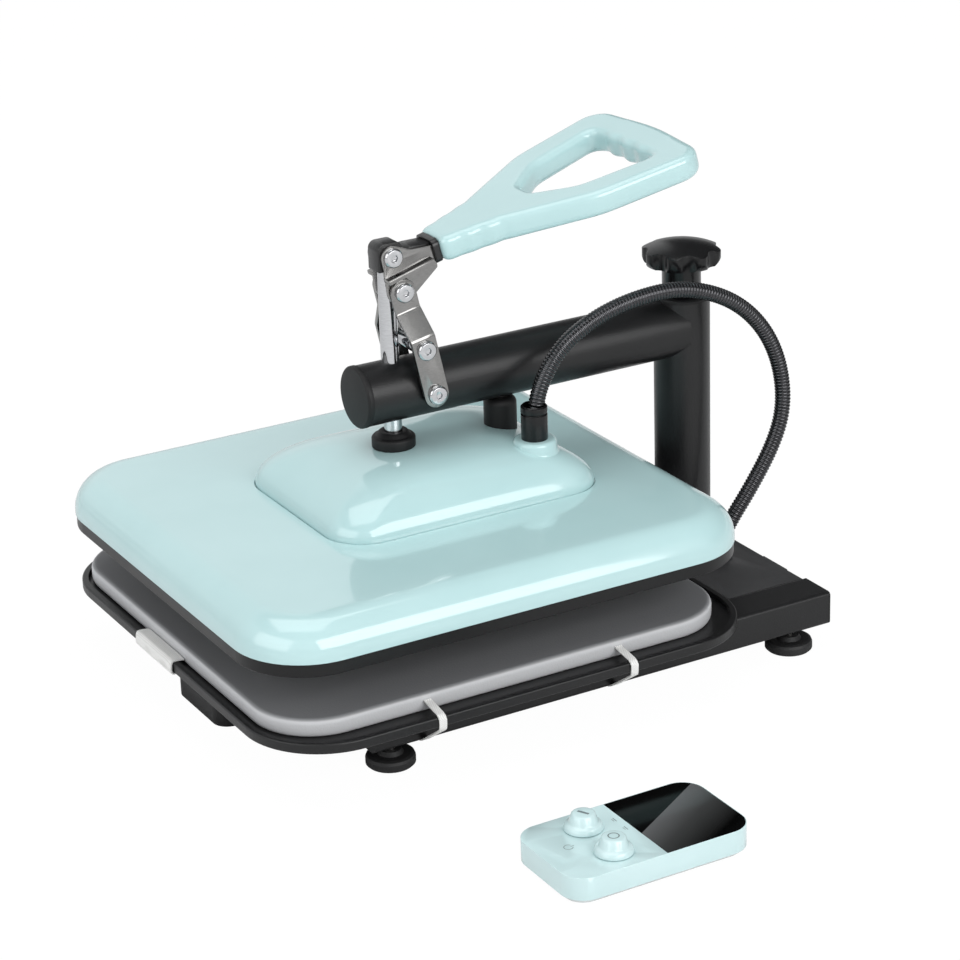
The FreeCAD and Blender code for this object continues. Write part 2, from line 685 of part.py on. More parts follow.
def rear_deck():
    """Folded cover between the beams, with a front and a rear skirt."""
    half = BEAM_INNER_X - DECK_SIDE_GAP
    outer = block(-half, half, DECK_FRONT_Y, BEAM_REAR_Y, BEAM_Z + DECK_FLOOR_T, DECK_TOP_Z)
    ridge = [e for e in outer.Edges if abs(e.CenterOfMass.z - DECK_TOP_Z) < NEAR
             and abs(e.CenterOfMass.x) < NEAR
             and e.CenterOfMass.y > POST_Y]
    outer = outer.makeFillet(BEAM_CORNER_R, ridge)
    inner = block(-half - OVERRUN, half + OVERRUN, DECK_FRONT_Y + DECK_T, BEAM_REAR_Y - DECK_T, BEAM_Z,
                  DECK_TOP_Z - DECK_T)
    deck = outer.cut(inner)
    deck = deck.cut(rod_z(SPINDLE_R, BEAM_Z, DECK_TOP_Z + OVERRUN, 0, POST_Y))
    hole_y = BASE_GLAND_Y - CONDUIT_HOLE_SHIFT
    deck = deck.cut(rod_z(CONDUIT_R + THROUGH_GAP, BEAM_Z, DECK_TOP_Z + OVERRUN, BASE_GLAND_X, hole_y))
    inlet = block(INLET_X - INLET_W / 2, INLET_X + INLET_W / 2, BEAM_REAR_Y - DECK_T - OVERRUN,
                  BEAM_REAR_Y + OVERRUN,
                  inlet_z() - INLET_H / 2, inlet_z() + INLET_H / 2)
    return deck.cut(inlet)


def deck_floor():
    half = BEAM_INNER_X - DECK_SIDE_GAP
    return block(-half, half, DECK_FRONT_Y, BEAM_REAR_Y, BEAM_Z, BEAM_Z + DECK_FLOOR_T)


def inlet_z():
    return (BEAM_Z + DECK_FLOOR_T + DECK_TOP_Z - DECK_T) / 2


def power_inlet():
    """Three-pin appliance inlet, open to the rear."""
    z = inlet_z()
    body = block(INLET_X - INLET_W / 2, INLET_X + INLET_W / 2, BEAM_REAR_Y - INLET_DEPTH, BEAM_REAR_Y,
                 z - INLET_H / 2, z + INLET_H / 2)
    half_w = INLET_W / 2 + INLET_FLANGE
    flange = block(INLET_X - half_w, INLET_X + half_w, BEAM_REAR_Y, BEAM_REAR_Y + INLET_FLANGE_T,
                   z - INLET_H / 2 - INLET_FLANGE_RISE, z + INLET_H / 2 + INLET_FLANGE_RISE)
    recess_half_w = INLET_W / 2 - INLET_WALL
    recess_half_h = INLET_H / 2 - INLET_WALL
    left, right = INLET_X - recess_half_w, INLET_X + recess_half_w
    foot, roof = z - recess_half_h, z + recess_half_h
    radius = INLET_CORNER_R
    corners = [(left, foot, radius), (right, foot, radius), (right, roof - INLET_SLANT, radius),
               (right - INLET_SLANT, roof, radius), (left + INLET_SLANT, roof, radius),
               (left, roof - INLET_SLANT, radius)]
    recess = profile_along_y(corners, BEAM_REAR_Y - INLET_RECESS, BEAM_REAR_Y + INLET_FLANGE_T + OVERRUN)
    shell = body.fuse(flange).cut(recess)
    pins = []
    low, high = z - INLET_PIN_RISE, z + INLET_PIN_RISE
    for x, pin_z in ((-INLET_PIN_PITCH, low), (0, high), (INLET_PIN_PITCH, low)):
        pins.append(block(INLET_X + x - INLET_PIN_HALF_W, INLET_X + x + INLET_PIN_HALF_W,
                          BEAM_REAR_Y - INLET_RECESS - OVERRUN, BEAM_REAR_Y - INLET_PIN_BACK,
                          pin_z - INLET_PIN_HALF_H, pin_z + INLET_PIN_HALF_H))
    return fused([shell] + pins)


# ---------------------------------------------------------------- lower platen
def platen_tray():
    outer = centred_block(TRAY_HALF_X, TRAY_HALF_Y, TRAY_Y, BEAM_TOP_Z, TRAY_LIP_Z, TRAY_CORNER_R)
    outer = rounded_at_z(outer, TRAY_LIP_Z, TRAY_EDGE_R)
    outer = rounded_at_z(outer, BEAM_TOP_Z, TRAY_EDGE_R)
    dish = centred_block(TRAY_HALF_X - TRAY_LIP_W, TRAY_HALF_Y - TRAY_LIP_W, TRAY_Y, TRAY_FLOOR_Z,
                         TRAY_LIP_Z + OVERRUN,
                         TRAY_CORNER_R - TRAY_LIP_W)
    return outer.cut(dish)


def silicone_pad():
    pad = rounded_block(PAD_X - PAD_HALF_X, PAD_X + PAD_HALF_X, PAD_Y - PAD_HALF_Y, PAD_Y + PAD_HALF_Y,
                        TRAY_FLOOR_Z,
                        TRAY_FLOOR_Z + PAD_T, PAD_CORNER_R)
    return rounded_at_z(pad, TRAY_FLOOR_Z + PAD_T, PAD_EDGE_R)


def band_corners(edge, start, lap, thick):
    """Outline of a band from the pad's foot over the tray's rim, whose outer face is at edge, and back in."""
    lip = edge - TRAY_LIP_W
    outside = edge + FACE_GAP
    floor = TRAY_FLOOR_Z + FACE_GAP
    over = TRAY_LIP_Z + FACE_GAP
    under = BEAM_TOP_Z - FACE_GAP
    fold_r = BAND_FOLD_R + thick
    return [(start, floor, 0), (lip, over, BAND_FOLD_R), (outside, over, BAND_FOLD_R),
            (outside, under, BAND_FOLD_R),
            (outside - lap, under, 0), (outside - lap, under - thick, 0),
            (outside + thick, under - thick, fold_r), (outside + thick, over + thick, fold_r),
            (lip, over + thick, fold_r), (start, floor + thick, 0)]


def elastic_straps():
    """Four narrow bands that hold the pad down, two over each side rim."""
    straps = []
    for side in (1, -1):
        pad_side = PAD_HALF_X + side * PAD_X
        corners = band_corners(TRAY_HALF_X, pad_side + FACE_GAP, STRAP_LAP, STRAP_T)
        outline = [(side * x, z, radius) for x, z, radius in corners]
        for y in (STRAP_Y_FRONT, STRAP_Y_REAR):
            straps.append(profile_along_y(outline, y - STRAP_W / 2, y + STRAP_W / 2))
    return Part.Compound(straps)


def fabric_tag():
    """Plain woven tag folded over the front rim."""
    corners = band_corners(-TRAY_FRONT_Y, PAD_HALF_Y - PAD_Y + FACE_GAP, TAG_LAP, TAG_T)
    return profile_along_x([(-y, z, radius) for y, z, radius in corners], TAG_X - TAG_W / 2,
                           TAG_X + TAG_W / 2)


# ---------------------------------------------------------------- post and lift
def spindle():
    """Fixed inner column on a flange inside the deck, bored for the lift screw and its nut."""
    floor_z = BEAM_Z + DECK_FLOOR_T
    flange = rod_z(SOCKET_R, floor_z, DECK_TOP_Z - DECK_T, 0, POST_Y)
    flange = flange.common(block(-SOCKET_R, SOCKET_R, DECK_FRONT_Y + DECK_T, BEAM_REAR_Y - DECK_T, 0,
                                 DECK_TOP_Z))
    column = fused([flange, rod_z(SPINDLE_R, floor_z, SPINDLE_TOP_Z, 0, POST_Y)])
    column = column.cut(rod_z(SPINDLE_BORE_R, SPINDLE_TOP_Z - SPINDLE_BORE_H, SPINDLE_TOP_Z + OVERRUN, 0,
                              POST_Y))
    return column.cut(rod_z(LIFT_NUT_R, SPINDLE_TOP_Z - LIFT_NUT_H, SPINDLE_TOP_Z + OVERRUN, 0, POST_Y))


def lift_nut():
    return ring_z(LIFT_NUT_R, SCREW_R + RUN_GAP, SPINDLE_TOP_Z - LIFT_NUT_H, SPINDLE_TOP_Z, 0, POST_Y)


def lift_sleeve():
    """Sleeve that slides on the column and carries the post, closed at the top around the screw."""
    lid_z = SLEEVE_TOP_Z - SLEEVE_LID_T
    tube = ring_z(SLEEVE_R, SPINDLE_R + RUN_GAP, SLEEVE_Z, lid_z, 0, POST_Y)
    flange = ring_z(POST_R, SPINDLE_R + RUN_GAP, SLEEVE_Z, SLEEVE_Z + SLEEVE_FLANGE_T, 0, POST_Y)
    lid = ring_z(SLEEVE_R, SCREW_R + RUN_GAP, lid_z, SLEEVE_TOP_Z, 0, POST_Y)
    return fused([tube, flange, lid])


def lift_screw():
    """Screw that turns with the knob, held by its collar under the sleeve's lid and the knob above it."""
    thread = rod_z(SCREW_R, SCREW_FOOT_Z, KNOB_LOBE_Z + KNOB_HOLLOW_H, 0, POST_Y)
    collar_top = SLEEVE_TOP_Z - SLEEVE_LID_T - RUN_GAP
    return fused([thread, rod_z(SCREW_COLLAR_R, collar_top - SCREW_COLLAR_T, collar_top, 0, POST_Y)])


def star_face(z):
    """Plan of the knob: round lobes and hollows that run into each other without a corner."""
    step = math.pi / KNOB_LOBES
    lobe_centre = KNOB_R - KNOB_LOBE_R
    gap = math.sqrt(lobe_centre ** 2 + KNOB_SCALLOP_CENTRE ** 2
                    - 2 * lobe_centre * KNOB_SCALLOP_CENTRE * math.cos(step))
    hollow_r = gap - KNOB_LOBE_R

    def polar(radius, angle):
        return Vec(radius * math.cos(angle), radius * math.sin(angle), z)

    edges = []
    for i in range(KNOB_LOBES):
        angle = 2 * i * step
        lobe = polar(lobe_centre, angle)
        touches = []
        for side in (-1, 1):
            hollow = polar(KNOB_SCALLOP_CENTRE, angle + side * step)
            touches.append(lobe + (hollow - lobe) * (KNOB_LOBE_R / gap))
        next_lobe = polar(lobe_centre, angle + 2 * step)
        hollow = polar(KNOB_SCALLOP_CENTRE, angle + step)
        landing = next_lobe + (hollow - next_lobe) * (KNOB_LOBE_R / gap)
        edges.append(Part.Arc(touches[0], polar(KNOB_R, angle), touches[1]).toShape())
        edges.append(Part.Arc(touches[1], polar(KNOB_SCALLOP_CENTRE - hollow_r, angle + step),
                              landing).toShape())
    return Part.Face(Part.Wire(Part.__sortEdges__(edges)))


def pressure_knob():
    """Star knob: domed top, rounded lobes, hollow under the rim, and a round neck."""
    top = KNOB_TOP_Z
    edge_z = top - KNOB_DOME_H
    rim_r = KNOB_R + KNOB_RIM_OVER
    shoulder_r = KNOB_R - KNOB_SHOULDER_IN
    shoulder_z = edge_z + KNOB_SHOULDER_IN / 2
    foot_r = KNOB_R - KNOB_FOOT_IN
    waist_z = (KNOB_LOBE_Z + edge_z) / 2
    lower = Part.Arc(Vec(foot_r, 0, KNOB_LOBE_Z), Vec(rim_r - KNOB_RIM_OVER, 0, waist_z),
                     Vec(rim_r, 0, edge_z)).toShape()
    shoulder = Part.LineSegment(Vec(rim_r, 0, edge_z), Vec(shoulder_r, 0, shoulder_z)).toShape()
    crown = Part.Arc(Vec(shoulder_r, 0, shoulder_z), Vec(KNOB_R / 2, 0, top - KNOB_CROWN_DROP),
                     Vec(0, 0, top)).toShape()
    axis = Part.LineSegment(Vec(0, 0, top), Vec(0, 0, KNOB_LOBE_Z)).toShape()
    foot = Part.LineSegment(Vec(0, 0, KNOB_LOBE_Z), Vec(foot_r, 0, KNOB_LOBE_Z)).toShape()
    head = Part.Face(Part.Wire([lower, shoulder, crown, axis, foot])).revolve(Vec(0, 0, 0), Vec(0, 0, 1), 360)
    head = head.common(star_face(KNOB_LOBE_Z - OVERRUN).extrude(Vec(0, 0, top - KNOB_LOBE_Z + 2 * OVERRUN)))
    ceiling = KNOB_LOBE_Z + KNOB_HOLLOW_H
    head = head.cut(ring_z(KNOB_HOLLOW_R, KNOB_NECK_R, KNOB_LOBE_Z - OVERRUN, ceiling))
    neck = rod_z(KNOB_NECK_R, SLEEVE_TOP_Z + RUN_GAP, ceiling + OVERRUN)
    knob = head.fuse(neck).cut(rod_z(SCREW_R, SLEEVE_TOP_Z - OVERRUN, ceiling)).removeSplitter()
    knob.translate(Vec(0, POST_Y, 0))
    return knob


def post_tube():
    return ring_z(POST_R, POST_BORE_R, POST_FOOT_Z, POST_TOP_Z, 0, POST_Y)


def post_bushes():
    """Plain bearings that let the post turn on the lift sleeve."""
    lower = ring_z(POST_BORE_R, SLEEVE_R + RUN_GAP, POST_FOOT_Z, POST_FOOT_Z + BUSH_H, 0, POST_Y)
    upper_top = SLEEVE_TOP_Z - SLEEVE_LID_T
    upper = ring_z(POST_BORE_R, SLEEVE_R + RUN_GAP, upper_top - BUSH_H, upper_top, 0, POST_Y)
    return Part.Compound([lower, upper])


def post_cap():
    cap = ring_z(POST_R, KNOB_NECK_R + THROUGH_GAP, POST_TOP_Z, POST_TOP_Z + POST_CAP_T, 0, POST_Y)
    rim = [e for e in cap.Edges if abs(e.CenterOfMass.z - POST_TOP_Z - POST_CAP_T) < NEAR
           and e.Curve.Radius > POST_BORE_R]
    return cap.makeChamfer(POST_CAP_BEVEL, rim)


# ---------------------------------------------------------------- arm
def arm_tube():
    front = ARM_FRONT_Y + ARM_CAP_L
    tube = rod_y(ARM_R, front, POST_Y, 0, ARM_Z)
    tube = tube.cut(rod_y(ARM_BORE_R, front - OVERRUN, POST_Y + OVERRUN, 0, ARM_Z))
    tube = tube.cut(rod_z(POST_R, ARM_Z - 2 * ARM_R, ARM_Z + 2 * ARM_R, 0, POST_Y))
    tube = tube.cut(block(-ARM_R - OVERRUN, ARM_R + OVERRUN, POST_Y - ARM_TAIL_TRIM, POST_Y + OVERRUN,
                          ARM_Z - 2 * ARM_R, ARM_Z + 2 * ARM_R))
    tube = tube.cut(rod_z(GUIDE_TUBE_R, ARM_Z - 2 * ARM_R, ARM_Z + 2 * ARM_R))
    tube = tube.cut(rod_z(GUIDE_PIN_R, ARM_Z - 2 * ARM_R, ARM_Z, 0, GUIDE_Y))
    return tube.cut(rod_x(PIN_C_R, -2 * ARM_R, 2 * ARM_R, PIVOT_C_Y, ARM_Z))


def arm_cap():
    front = ARM_FRONT_Y
    disc = rod_y(ARM_R + ARM_CAP_RISE, front, front + ARM_CAP_L, 0, ARM_Z)
    nose = [e for e in disc.Edges if abs(e.CenterOfMass.y - front) < NEAR]
    plug = rod_y(ARM_BORE_R, front + ARM_CAP_L, front + ARM_CAP_L + ARM_CAP_PLUG, 0, ARM_Z)
    return fused([disc.makeChamfer(ARM_CAP_BEVEL, nose), plug])


def rod_guide_tube():
    """Guide for the press rod, welded across the arm and dressed flush with it."""
    tube = ring_z(GUIDE_TUBE_R, ROD_R + RUN_GAP, ARM_Z - 2 * ARM_R, ARM_Z + 2 * ARM_R)
    tube = tube.common(rod_y(ARM_R, -ARM_R, ARM_R, 0, ARM_Z))
    return tube.cut(rod_x(PIN_C_R, -ARM_R, ARM_R, PIVOT_C_Y, ARM_Z))


def guide_pin():
    """Pin under the arm that keeps the platen from turning about the press rod."""
    return rod_z(GUIDE_PIN_R, GUIDE_PIN_FOOT_Z, ARM_Z - ARM_BORE_R, 0, GUIDE_Y)


def link_pivot_pin():
    """Pivot through the arm, with a turned boss each side for the links to bear on."""
    face_x = LINK_LOWER_X - FACE_GAP
    pin = rod_x(PIN_C_R, -face_x, face_x, PIVOT_C_Y, ARM_Z)
    boss = rod_x(BOSS_R, -face_x, face_x, PIVOT_C_Y, ARM_Z)
    boss = boss.cut(rod_y(ARM_R, PIVOT_C_Y - 2 * BOSS_R, PIVOT_C_Y + 2 * BOSS_R, 0, ARM_Z))
    return fused([pin, boss])


# ---------------------------------------------------------------- linkage
def lean_on_link(shape):
    """From the link's own frame (arm pin at the origin, link along +Z) to its place."""
    shape.rotate(Vec(0, 0, 0), Vec(1, 0, 0), LINK_LEAN)
    shape.translate(Vec(0, PIVOT_C_Y, ARM_Z))
    return shape


def right_link():
    """Flat bar with round ends, joggled so that it clears the arm below and hugs the bracket above."""
    end = LINK_W / 2
    lower, upper = LINK_LOWER_X, LINK_UPPER_X
    slant = math.atan2(lower - upper, LINK_JOG_END - LINK_JOG_START)
    shift = LINK_T * math.tan(slant / 2)
    side = [(lower, -end, 0), (lower + LINK_T, -end, 0),
            (lower + LINK_T, LINK_JOG_START + shift, LINK_OUTER_BEND_R),
            (upper + LINK_T, LINK_JOG_END + shift, LINK_INNER_BEND_R),
            (upper + LINK_T, LINK_L + end, 0), (upper, LINK_L + end, 0),
            (upper, LINK_JOG_END, LINK_OUTER_BEND_R), (lower, LINK_JOG_START, LINK_INNER_BEND_R)]
    bar = profile_along_y(side, -end, end)
    round_r = end - LINK_END_FLAT
    outline = rectangle_corners(-end, end, -end, LINK_L + end, round_r)
    bar = bar.common(profile_along_x(outline, 0, lower + 2 * LINK_T))
    for radius, along in ((SPACER_BOLT_R, SPACER_ALONG), (PIN_B_R, LINK_L)):
        bar = bar.cut(rod_x(radius, 0, lower + 2 * LINK_T, 0, along))
    return lean_on_link(bar)


def left_link():
    return mirrored(right_link())


def link_spacer():
    """Tube and through bolt that keep the two links apart above the arm."""
    tube = rod_x(SPACER_R, -LINK_LOWER_X, LINK_LOWER_X, 0, SPACER_ALONG)
    bolt = rod_x(SPACER_BOLT_R, -LINK_HEAD_X, LINK_HEAD_X, 0, SPACER_ALONG)
    heads = [button_head(LINK_HEAD_X, 1, 0, SPACER_ALONG), button_head(-LINK_HEAD_X, -1, 0, SPACER_ALONG)]
    return lean_on_link(fused([tube, bolt] + heads))


def link_bolts():
    """Bolts of the links: shouldered ones that turn in the bracket's ears, and heads at the arm's pivot."""
    bolts = []
    shank = rod_x(PIN_B_R, BRACKET_INNER_X, LINK_UPPER_X + LINK_T, 0, LINK_L)
    bolts += both_sides(fused([shank, button_head(LINK_UPPER_X + LINK_T, 1, 0, LINK_L)]))
    bolts += both_sides(button_head(LINK_HEAD_X, 1, 0, 0))
    return lean_on_link(Part.Compound(bolts))


def tangent_corner(y, z, radius, before, after):
    """Corner between the two tangents drawn to a circle from the outline's points before and after it."""
    def tangent(point, side):
        dy, dz = y - point[0], z - point[1]
        heading = math.atan2(dz, dy) + side * math.asin(radius / math.hypot(dy, dz))
        return math.cos(heading), math.sin(heading)
    ay, az = tangent(before, -1)
    by, bz = tangent(after, 1)
    reach = ((after[0] - before[0]) * bz - (after[1] - before[1]) * by) / (ay * bz - az * by)
    return before[0] + reach * ay, before[1] + reach * az, radius


def lip_foot():
    """Front lower point of the folded lip, set off from the links' round ends."""
    slope = math.radians(LIP_SLOPE)
    clear = LINK_W / 2 + LIP_GAP
    rise = clear / math.cos(slope) + (LIP_FRONT_Y - PIVOT_B_Y) * math.tan(slope)
    return LIP_FRONT_Y, PIVOT_B_Z + rise


def bracket_plates():
    """Two side plates, round about both pins, each with a lip folded outward along the handle's line."""
    lip_y, lip_z = lip_foot()
    waist = (lip_y, lip_z)
    nape = (PIVOT_B_Y + BRACKET_HEAD_R, BRACKET_TOP_Z)
    heel = (BRACKET_HEEL_Y, BRACKET_HEEL_Z)
    outline = [tangent_corner(0, PIVOT_A_Z, BRACKET_HEAD_R, nape, waist),
               (waist[0], waist[1], BRACKET_WAIST_R),
               tangent_corner(PIVOT_B_Y, PIVOT_B_Z, BRACKET_EAR_R, waist, heel),
               (heel[0], heel[1], BRACKET_HEEL_R),
               (BRACKET_REAR_Y, BRACKET_TOP_Z, BRACKET_HEEL_R),
               (nape[0], nape[1], BRACKET_NAPE_R)]
    plate = profile_along_x(outline, BRACKET_INNER_X, BRACKET_OUTER_X)
    lip = block(BRACKET_INNER_X, BRACKET_OUTER_X + LIP_REACH, 0, LIP_L, 0, LIP_T)
    outer_edges = [e for e in lip.Edges if abs(e.CenterOfMass.x - BRACKET_OUTER_X - LIP_REACH) < NEAR
                   and abs(e.CenterOfMass.z - LIP_T) < NEAR]
    lip = lip.makeFillet(LIP_EDGE_R, outer_edges)
    lip.rotate(Vec(0, 0, 0), Vec(1, 0, 0), LIP_SLOPE)
    lip.translate(Vec(0, lip_y, lip_z))
    side = fused([plate, lip])
    side = side.cut(rod_x(PIN_A_R, 0, 2 * BRACKET_OUTER_X, 0, PIVOT_A_Z))
    side = side.cut(rod_x(PIN_B_R + RUN_GAP, 0, 2 * BRACKET_OUTER_X, PIVOT_B_Y, PIVOT_B_Z))
    return Part.Compound(both_sides(side))


def bracket_pin():
    shaft = rod_x(PIN_A_R, -BRACKET_OUTER_X, BRACKET_OUTER_X, 0, PIVOT_A_Z)
    heads = [button_head(BRACKET_OUTER_X, 1, 0, PIVOT_A_Z), button_head(-BRACKET_OUTER_X, -1, 0, PIVOT_A_Z)]
    return fused([shaft] + heads)


# ---------------------------------------------------------------- handle
def tilt_handle(shape):
    """From the handle's own frame (start at the origin, length along +Y) to its place."""
    shape.rotate(Vec(0, 0, 0), Vec(1, 0, 0), HANDLE_TILT)
    shape.translate(Vec(0, HANDLE_START_Y, HANDLE_START_Z))
    return shape


def symmetric_face(right_side, z):
    """Face from (along, half width, radius) corners of one side, mirrored to the other."""
    right = [(half, along, radius) for along, half, radius in right_side]
    left = [(-half, along, radius) for along, half, radius in reversed(right_side) if half > 0]
    return rounded_face(right + left, lambda u, v: Vec(u, v, z))


def handle_grip():
    """Moulded D grip with a thick neck and a large finger hole, rounded all over."""
    half_t = HANDLE_T / 2
    outer = [(0, HANDLE_NECK_HALF, HANDLE_HEEL_R), (HANDLE_NECK_L, HANDLE_NECK_END_HALF, HANDLE_NECK_BEND_R),
             (HANDLE_SHOULDER_S, HANDLE_SHOULDER_HALF, HANDLE_SHOULDER_BEND_R),
             (HANDLE_L - HANDLE_BOW, HANDLE_HALF_W, HANDLE_CORNER_R), (HANDLE_L, 0, HANDLE_BOW_R)]
    hole = [(HOLE_START_S, HOLE_NOSE_HALF, HOLE_NOSE_R),
            (HOLE_SHOULDER_S, HOLE_SHOULDER_HALF, HOLE_SHOULDER_BEND_R),
            (HANDLE_L - BAR_W, HOLE_END_HALF, HOLE_CORNER_R)]
    body = symmetric_face(outer, -half_t).extrude(Vec(0, 0, HANDLE_T))
    body = body.cut(symmetric_face(hole, -half_t - OVERRUN).extrude(Vec(0, 0, HANDLE_T + 2 * OVERRUN)))
    rims = edges_at_z(body, half_t) + edges_at_z(body, -half_t)
    body = body.makeFillet(HANDLE_EDGE_R, rims)
    pocket = block(-TANG_W / 2, TANG_W / 2, -OVERRUN, TANG_REACH, -TANG_T / 2, TANG_T / 2)
    return tilt_handle(body.cut(pocket))


def handle_shank():
    """Dark block between the bracket plates, with a tang that reaches into the grip's neck."""
    corners = [(SHANK_FRONT_Y, SHANK_BOTTOM_Z, SHANK_HEEL_R), (SHANK_FRONT_Y, SHANK_TOP_Z, SHANK_CROWN_R),
               (BRACKET_REAR_Y, SHANK_TOP_Z, 0), (BRACKET_REAR_Y, SHANK_BOTTOM_Z + SHANK_CHIN, 0)]
    shank = profile_along_x(corners, -BRACKET_INNER_X, BRACKET_INNER_X)
    root = (SHANK_FRONT_Y + SHANK_CROWN_R - HANDLE_START_Y) / math.cos(math.radians(HANDLE_TILT))
    tang = tilt_handle(block(-TANG_W / 2, TANG_W / 2, root, TANG_REACH, -TANG_T / 2, TANG_T / 2))
    return fused([shank, tang])


def handle_ferrule():
    """Dark collar where the grip meets the bracket."""
    half_t = HANDLE_T / 2 - FERRULE_DROP
    collar = rounded_face(rectangle_corners(-FERRULE_HALF_W, FERRULE_HALF_W, -half_t, half_t,
                                            FERRULE_CORNER_R),
                          lambda u, v: Vec(u, -FERRULE_L, v)).extrude(Vec(0, FERRULE_L, 0))
    tang = block(-TANG_W / 2, TANG_W / 2, -FERRULE_L - OVERRUN, OVERRUN, -TANG_T / 2, TANG_T / 2)
    collar = tilt_handle(collar.cut(tang))
    return collar.cut(bracket_plates()).cut(handle_shank())


# ---------------------------------------------------------------- upper platen
def heat_cover():
    """Moulded cover with wide shoulders, open below and under the housing on top."""
    outer = centred_block(COVER_HALF_X, COVER_HALF_Y, COVER_Y, COVER_Z, COVER_TOP_Z, COVER_CORNER_R)
    outer = rounded_at_z(outer, COVER_TOP_Z, COVER_SHOULDER_R)
    inner_top = COVER_TOP_Z - COVER_WALL
    inner = centred_block(COVER_HALF_X - COVER_WALL, COVER_HALF_Y - COVER_WALL, COVER_Y, COVER_Z - OVERRUN,
                          inner_top,
                          COVER_CORNER_R - COVER_WALL)
    inner = rounded_at_z(inner, inner_top, COVER_SHOULDER_R - COVER_WALL)
    lap = 3 * DOME_WALL
    window = rounded_block(-DOME_HALF_X + lap, DOME_HALF_X - lap, DOME_FRONT_Y + lap, DOME_REAR_Y - lap,
                           inner_top - OVERRUN,
                           COVER_TOP_Z + OVERRUN, DOME_CORNER_R - lap)
    return outer.cut(inner).cut(window)


def dome_solid(inset, levels, straight):
    """Pillow with slopes of quarter ellipses up to a flat crown, drawn inward by inset for its inner face."""
    half_x = DOME_HALF_X - inset
    front, rear = DOME_FRONT_Y + inset, DOME_REAR_Y - inset
    height = DOME_H - inset
    wires = []
    for level in range(levels):
        angle = math.pi / 2 * level / (levels - 1)
        step_x = DOME_SIDE_REACH * (1 - math.cos(angle))
        step_y = DOME_END_REACH * (1 - math.cos(angle))
        corner = (DOME_CORNER_R - inset) * (1 - DOME_CORNER_DRAW * math.sin(angle))
        corners = rectangle_corners(-half_x + step_x, half_x - step_x, front + step_y, rear - step_y, corner)
        z = COVER_TOP_Z + height * math.sin(angle)
        wires.append(rounded_face(corners, lambda u, v: Vec(u, v, z)).OuterWire)
    return Part.makeLoft(wires, True, straight)


def dome_housing():
    """Raised housing over the rod's mount, with a round boss for the conduit gland."""
    boss_top = DOME_TOP_Z + GLAND_BOSS_RISE
    boss = rod_z(GLAND_BOSS_R, boss_top - GLAND_BOSS_H, boss_top, GLAND_X, GLAND_Y)
    boss = rounded_at_z(boss, boss_top, GLAND_BOSS_EDGE_R)
    cavity = rod_z(GLAND_BOSS_R - DOME_WALL, boss_top - GLAND_BOSS_H - OVERRUN, boss_top - DOME_WALL,
                   GLAND_X, GLAND_Y)
    shell = dome_solid(0, DOME_LEVELS, False).cut(dome_solid(DOME_WALL, DOME_INNER_LEVELS, True))
    shell = shell.fuse(boss).cut(cavity)
    shell = max(shell.Solids, key=lambda solid: solid.Volume)
    for radius, x, y in ((ROD_R + THROUGH_GAP, 0, 0), (GUIDE_SLEEVE_R, 0, GUIDE_Y),
                         (CONDUIT_R - GLAND_SEAT_W, GLAND_X, GLAND_Y)):
        shell = shell.cut(rod_z(radius, COVER_TOP_Z, boss_top + OVERRUN, x, y))
    return shell


def rim_frame():
    """Black band round the heating plate."""
    outer = centred_block(RIM_HALF_X, RIM_HALF_Y, COVER_Y, RIM_Z, COVER_Z, COVER_CORNER_R - RIM_INSET)
    outer = rounded_at_z(outer, RIM_Z, RIM_EDGE_R)
    inner = centred_block(RIM_HALF_X - RIM_W, RIM_HALF_Y - RIM_W, COVER_Y, RIM_Z - OVERRUN, COVER_Z + OVERRUN,
                          COVER_CORNER_R - RIM_INSET - RIM_W)
    return outer.cut(inner)


def heating_plate():
    return centred_block(PLATE_HALF_X, PLATE_HALF_Y, COVER_Y, PLATE_Z, PLATE_TOP_Z,
                         COVER_CORNER_R - RIM_INSET - RIM_W - SEAT_GAP)


def heating_element():
    """Square-section heater bar laid to and fro across the plate."""
    z = PLATE_TOP_Z + ELEMENT_HALF
    half_pitch = ELEMENT_PITCH / 2
    first = COVER_Y - ELEMENT_PITCH * (ELEMENT_ROWS - 1) / 2
    edges = []
    side = 1
    for row in range(ELEMENT_ROWS):
        y = first + row * ELEMENT_PITCH
        start = Vec(-side * ELEMENT_HALF_X, y, z)
        stop = Vec(side * ELEMENT_HALF_X, y, z)
        edges.append(Part.LineSegment(start, stop).toShape())
        if row < ELEMENT_ROWS - 1:
            bulge = Vec(side * (ELEMENT_HALF_X + half_pitch), y + half_pitch, z)
            edges.append(Part.Arc(stop, bulge, Vec(stop.x, y + ELEMENT_PITCH, z)).toShape())
        side = -side
    path = Part.Wire(edges)
    corners = [(-1, -1), (1, -1), (1, 1), (-1, 1), (-1, -1)]
    section = Part.makePolygon([Vec(-ELEMENT_HALF_X, first + ELEMENT_HALF * sy, z + ELEMENT_HALF * sz)
                                for sy, sz in corners])
    return path.makePipeShell([section], True, False)


def standoff_places():
    return [(x, COVER_Y + y) for x in (-STANDOFF_X, STANDOFF_X) for y in (-STANDOFF_Y, STANDOFF_Y)]


def insulation_mat():
    mat = centred_block(PLATE_HALF_X - INSULATION_INSET, PLATE_HALF_Y - INSULATION_INSET, COVER_Y,
                        INSULATION_Z,
                        INSULATION_Z + INSULATION_T, COVER_CORNER_R - RIM_W - INSULATION_INSET)
    for x, y in standoff_places():
        mat = mat.cut(rod_z(STANDOFF_R + SEAT_GAP, INSULATION_Z - OVERRUN, BACKING_Z, x, y))
    return mat.cut(rod_z(CUTOUT_R + SEAT_GAP, INSULATION_Z - OVERRUN, BACKING_Z, 0, CUTOUT_Y))


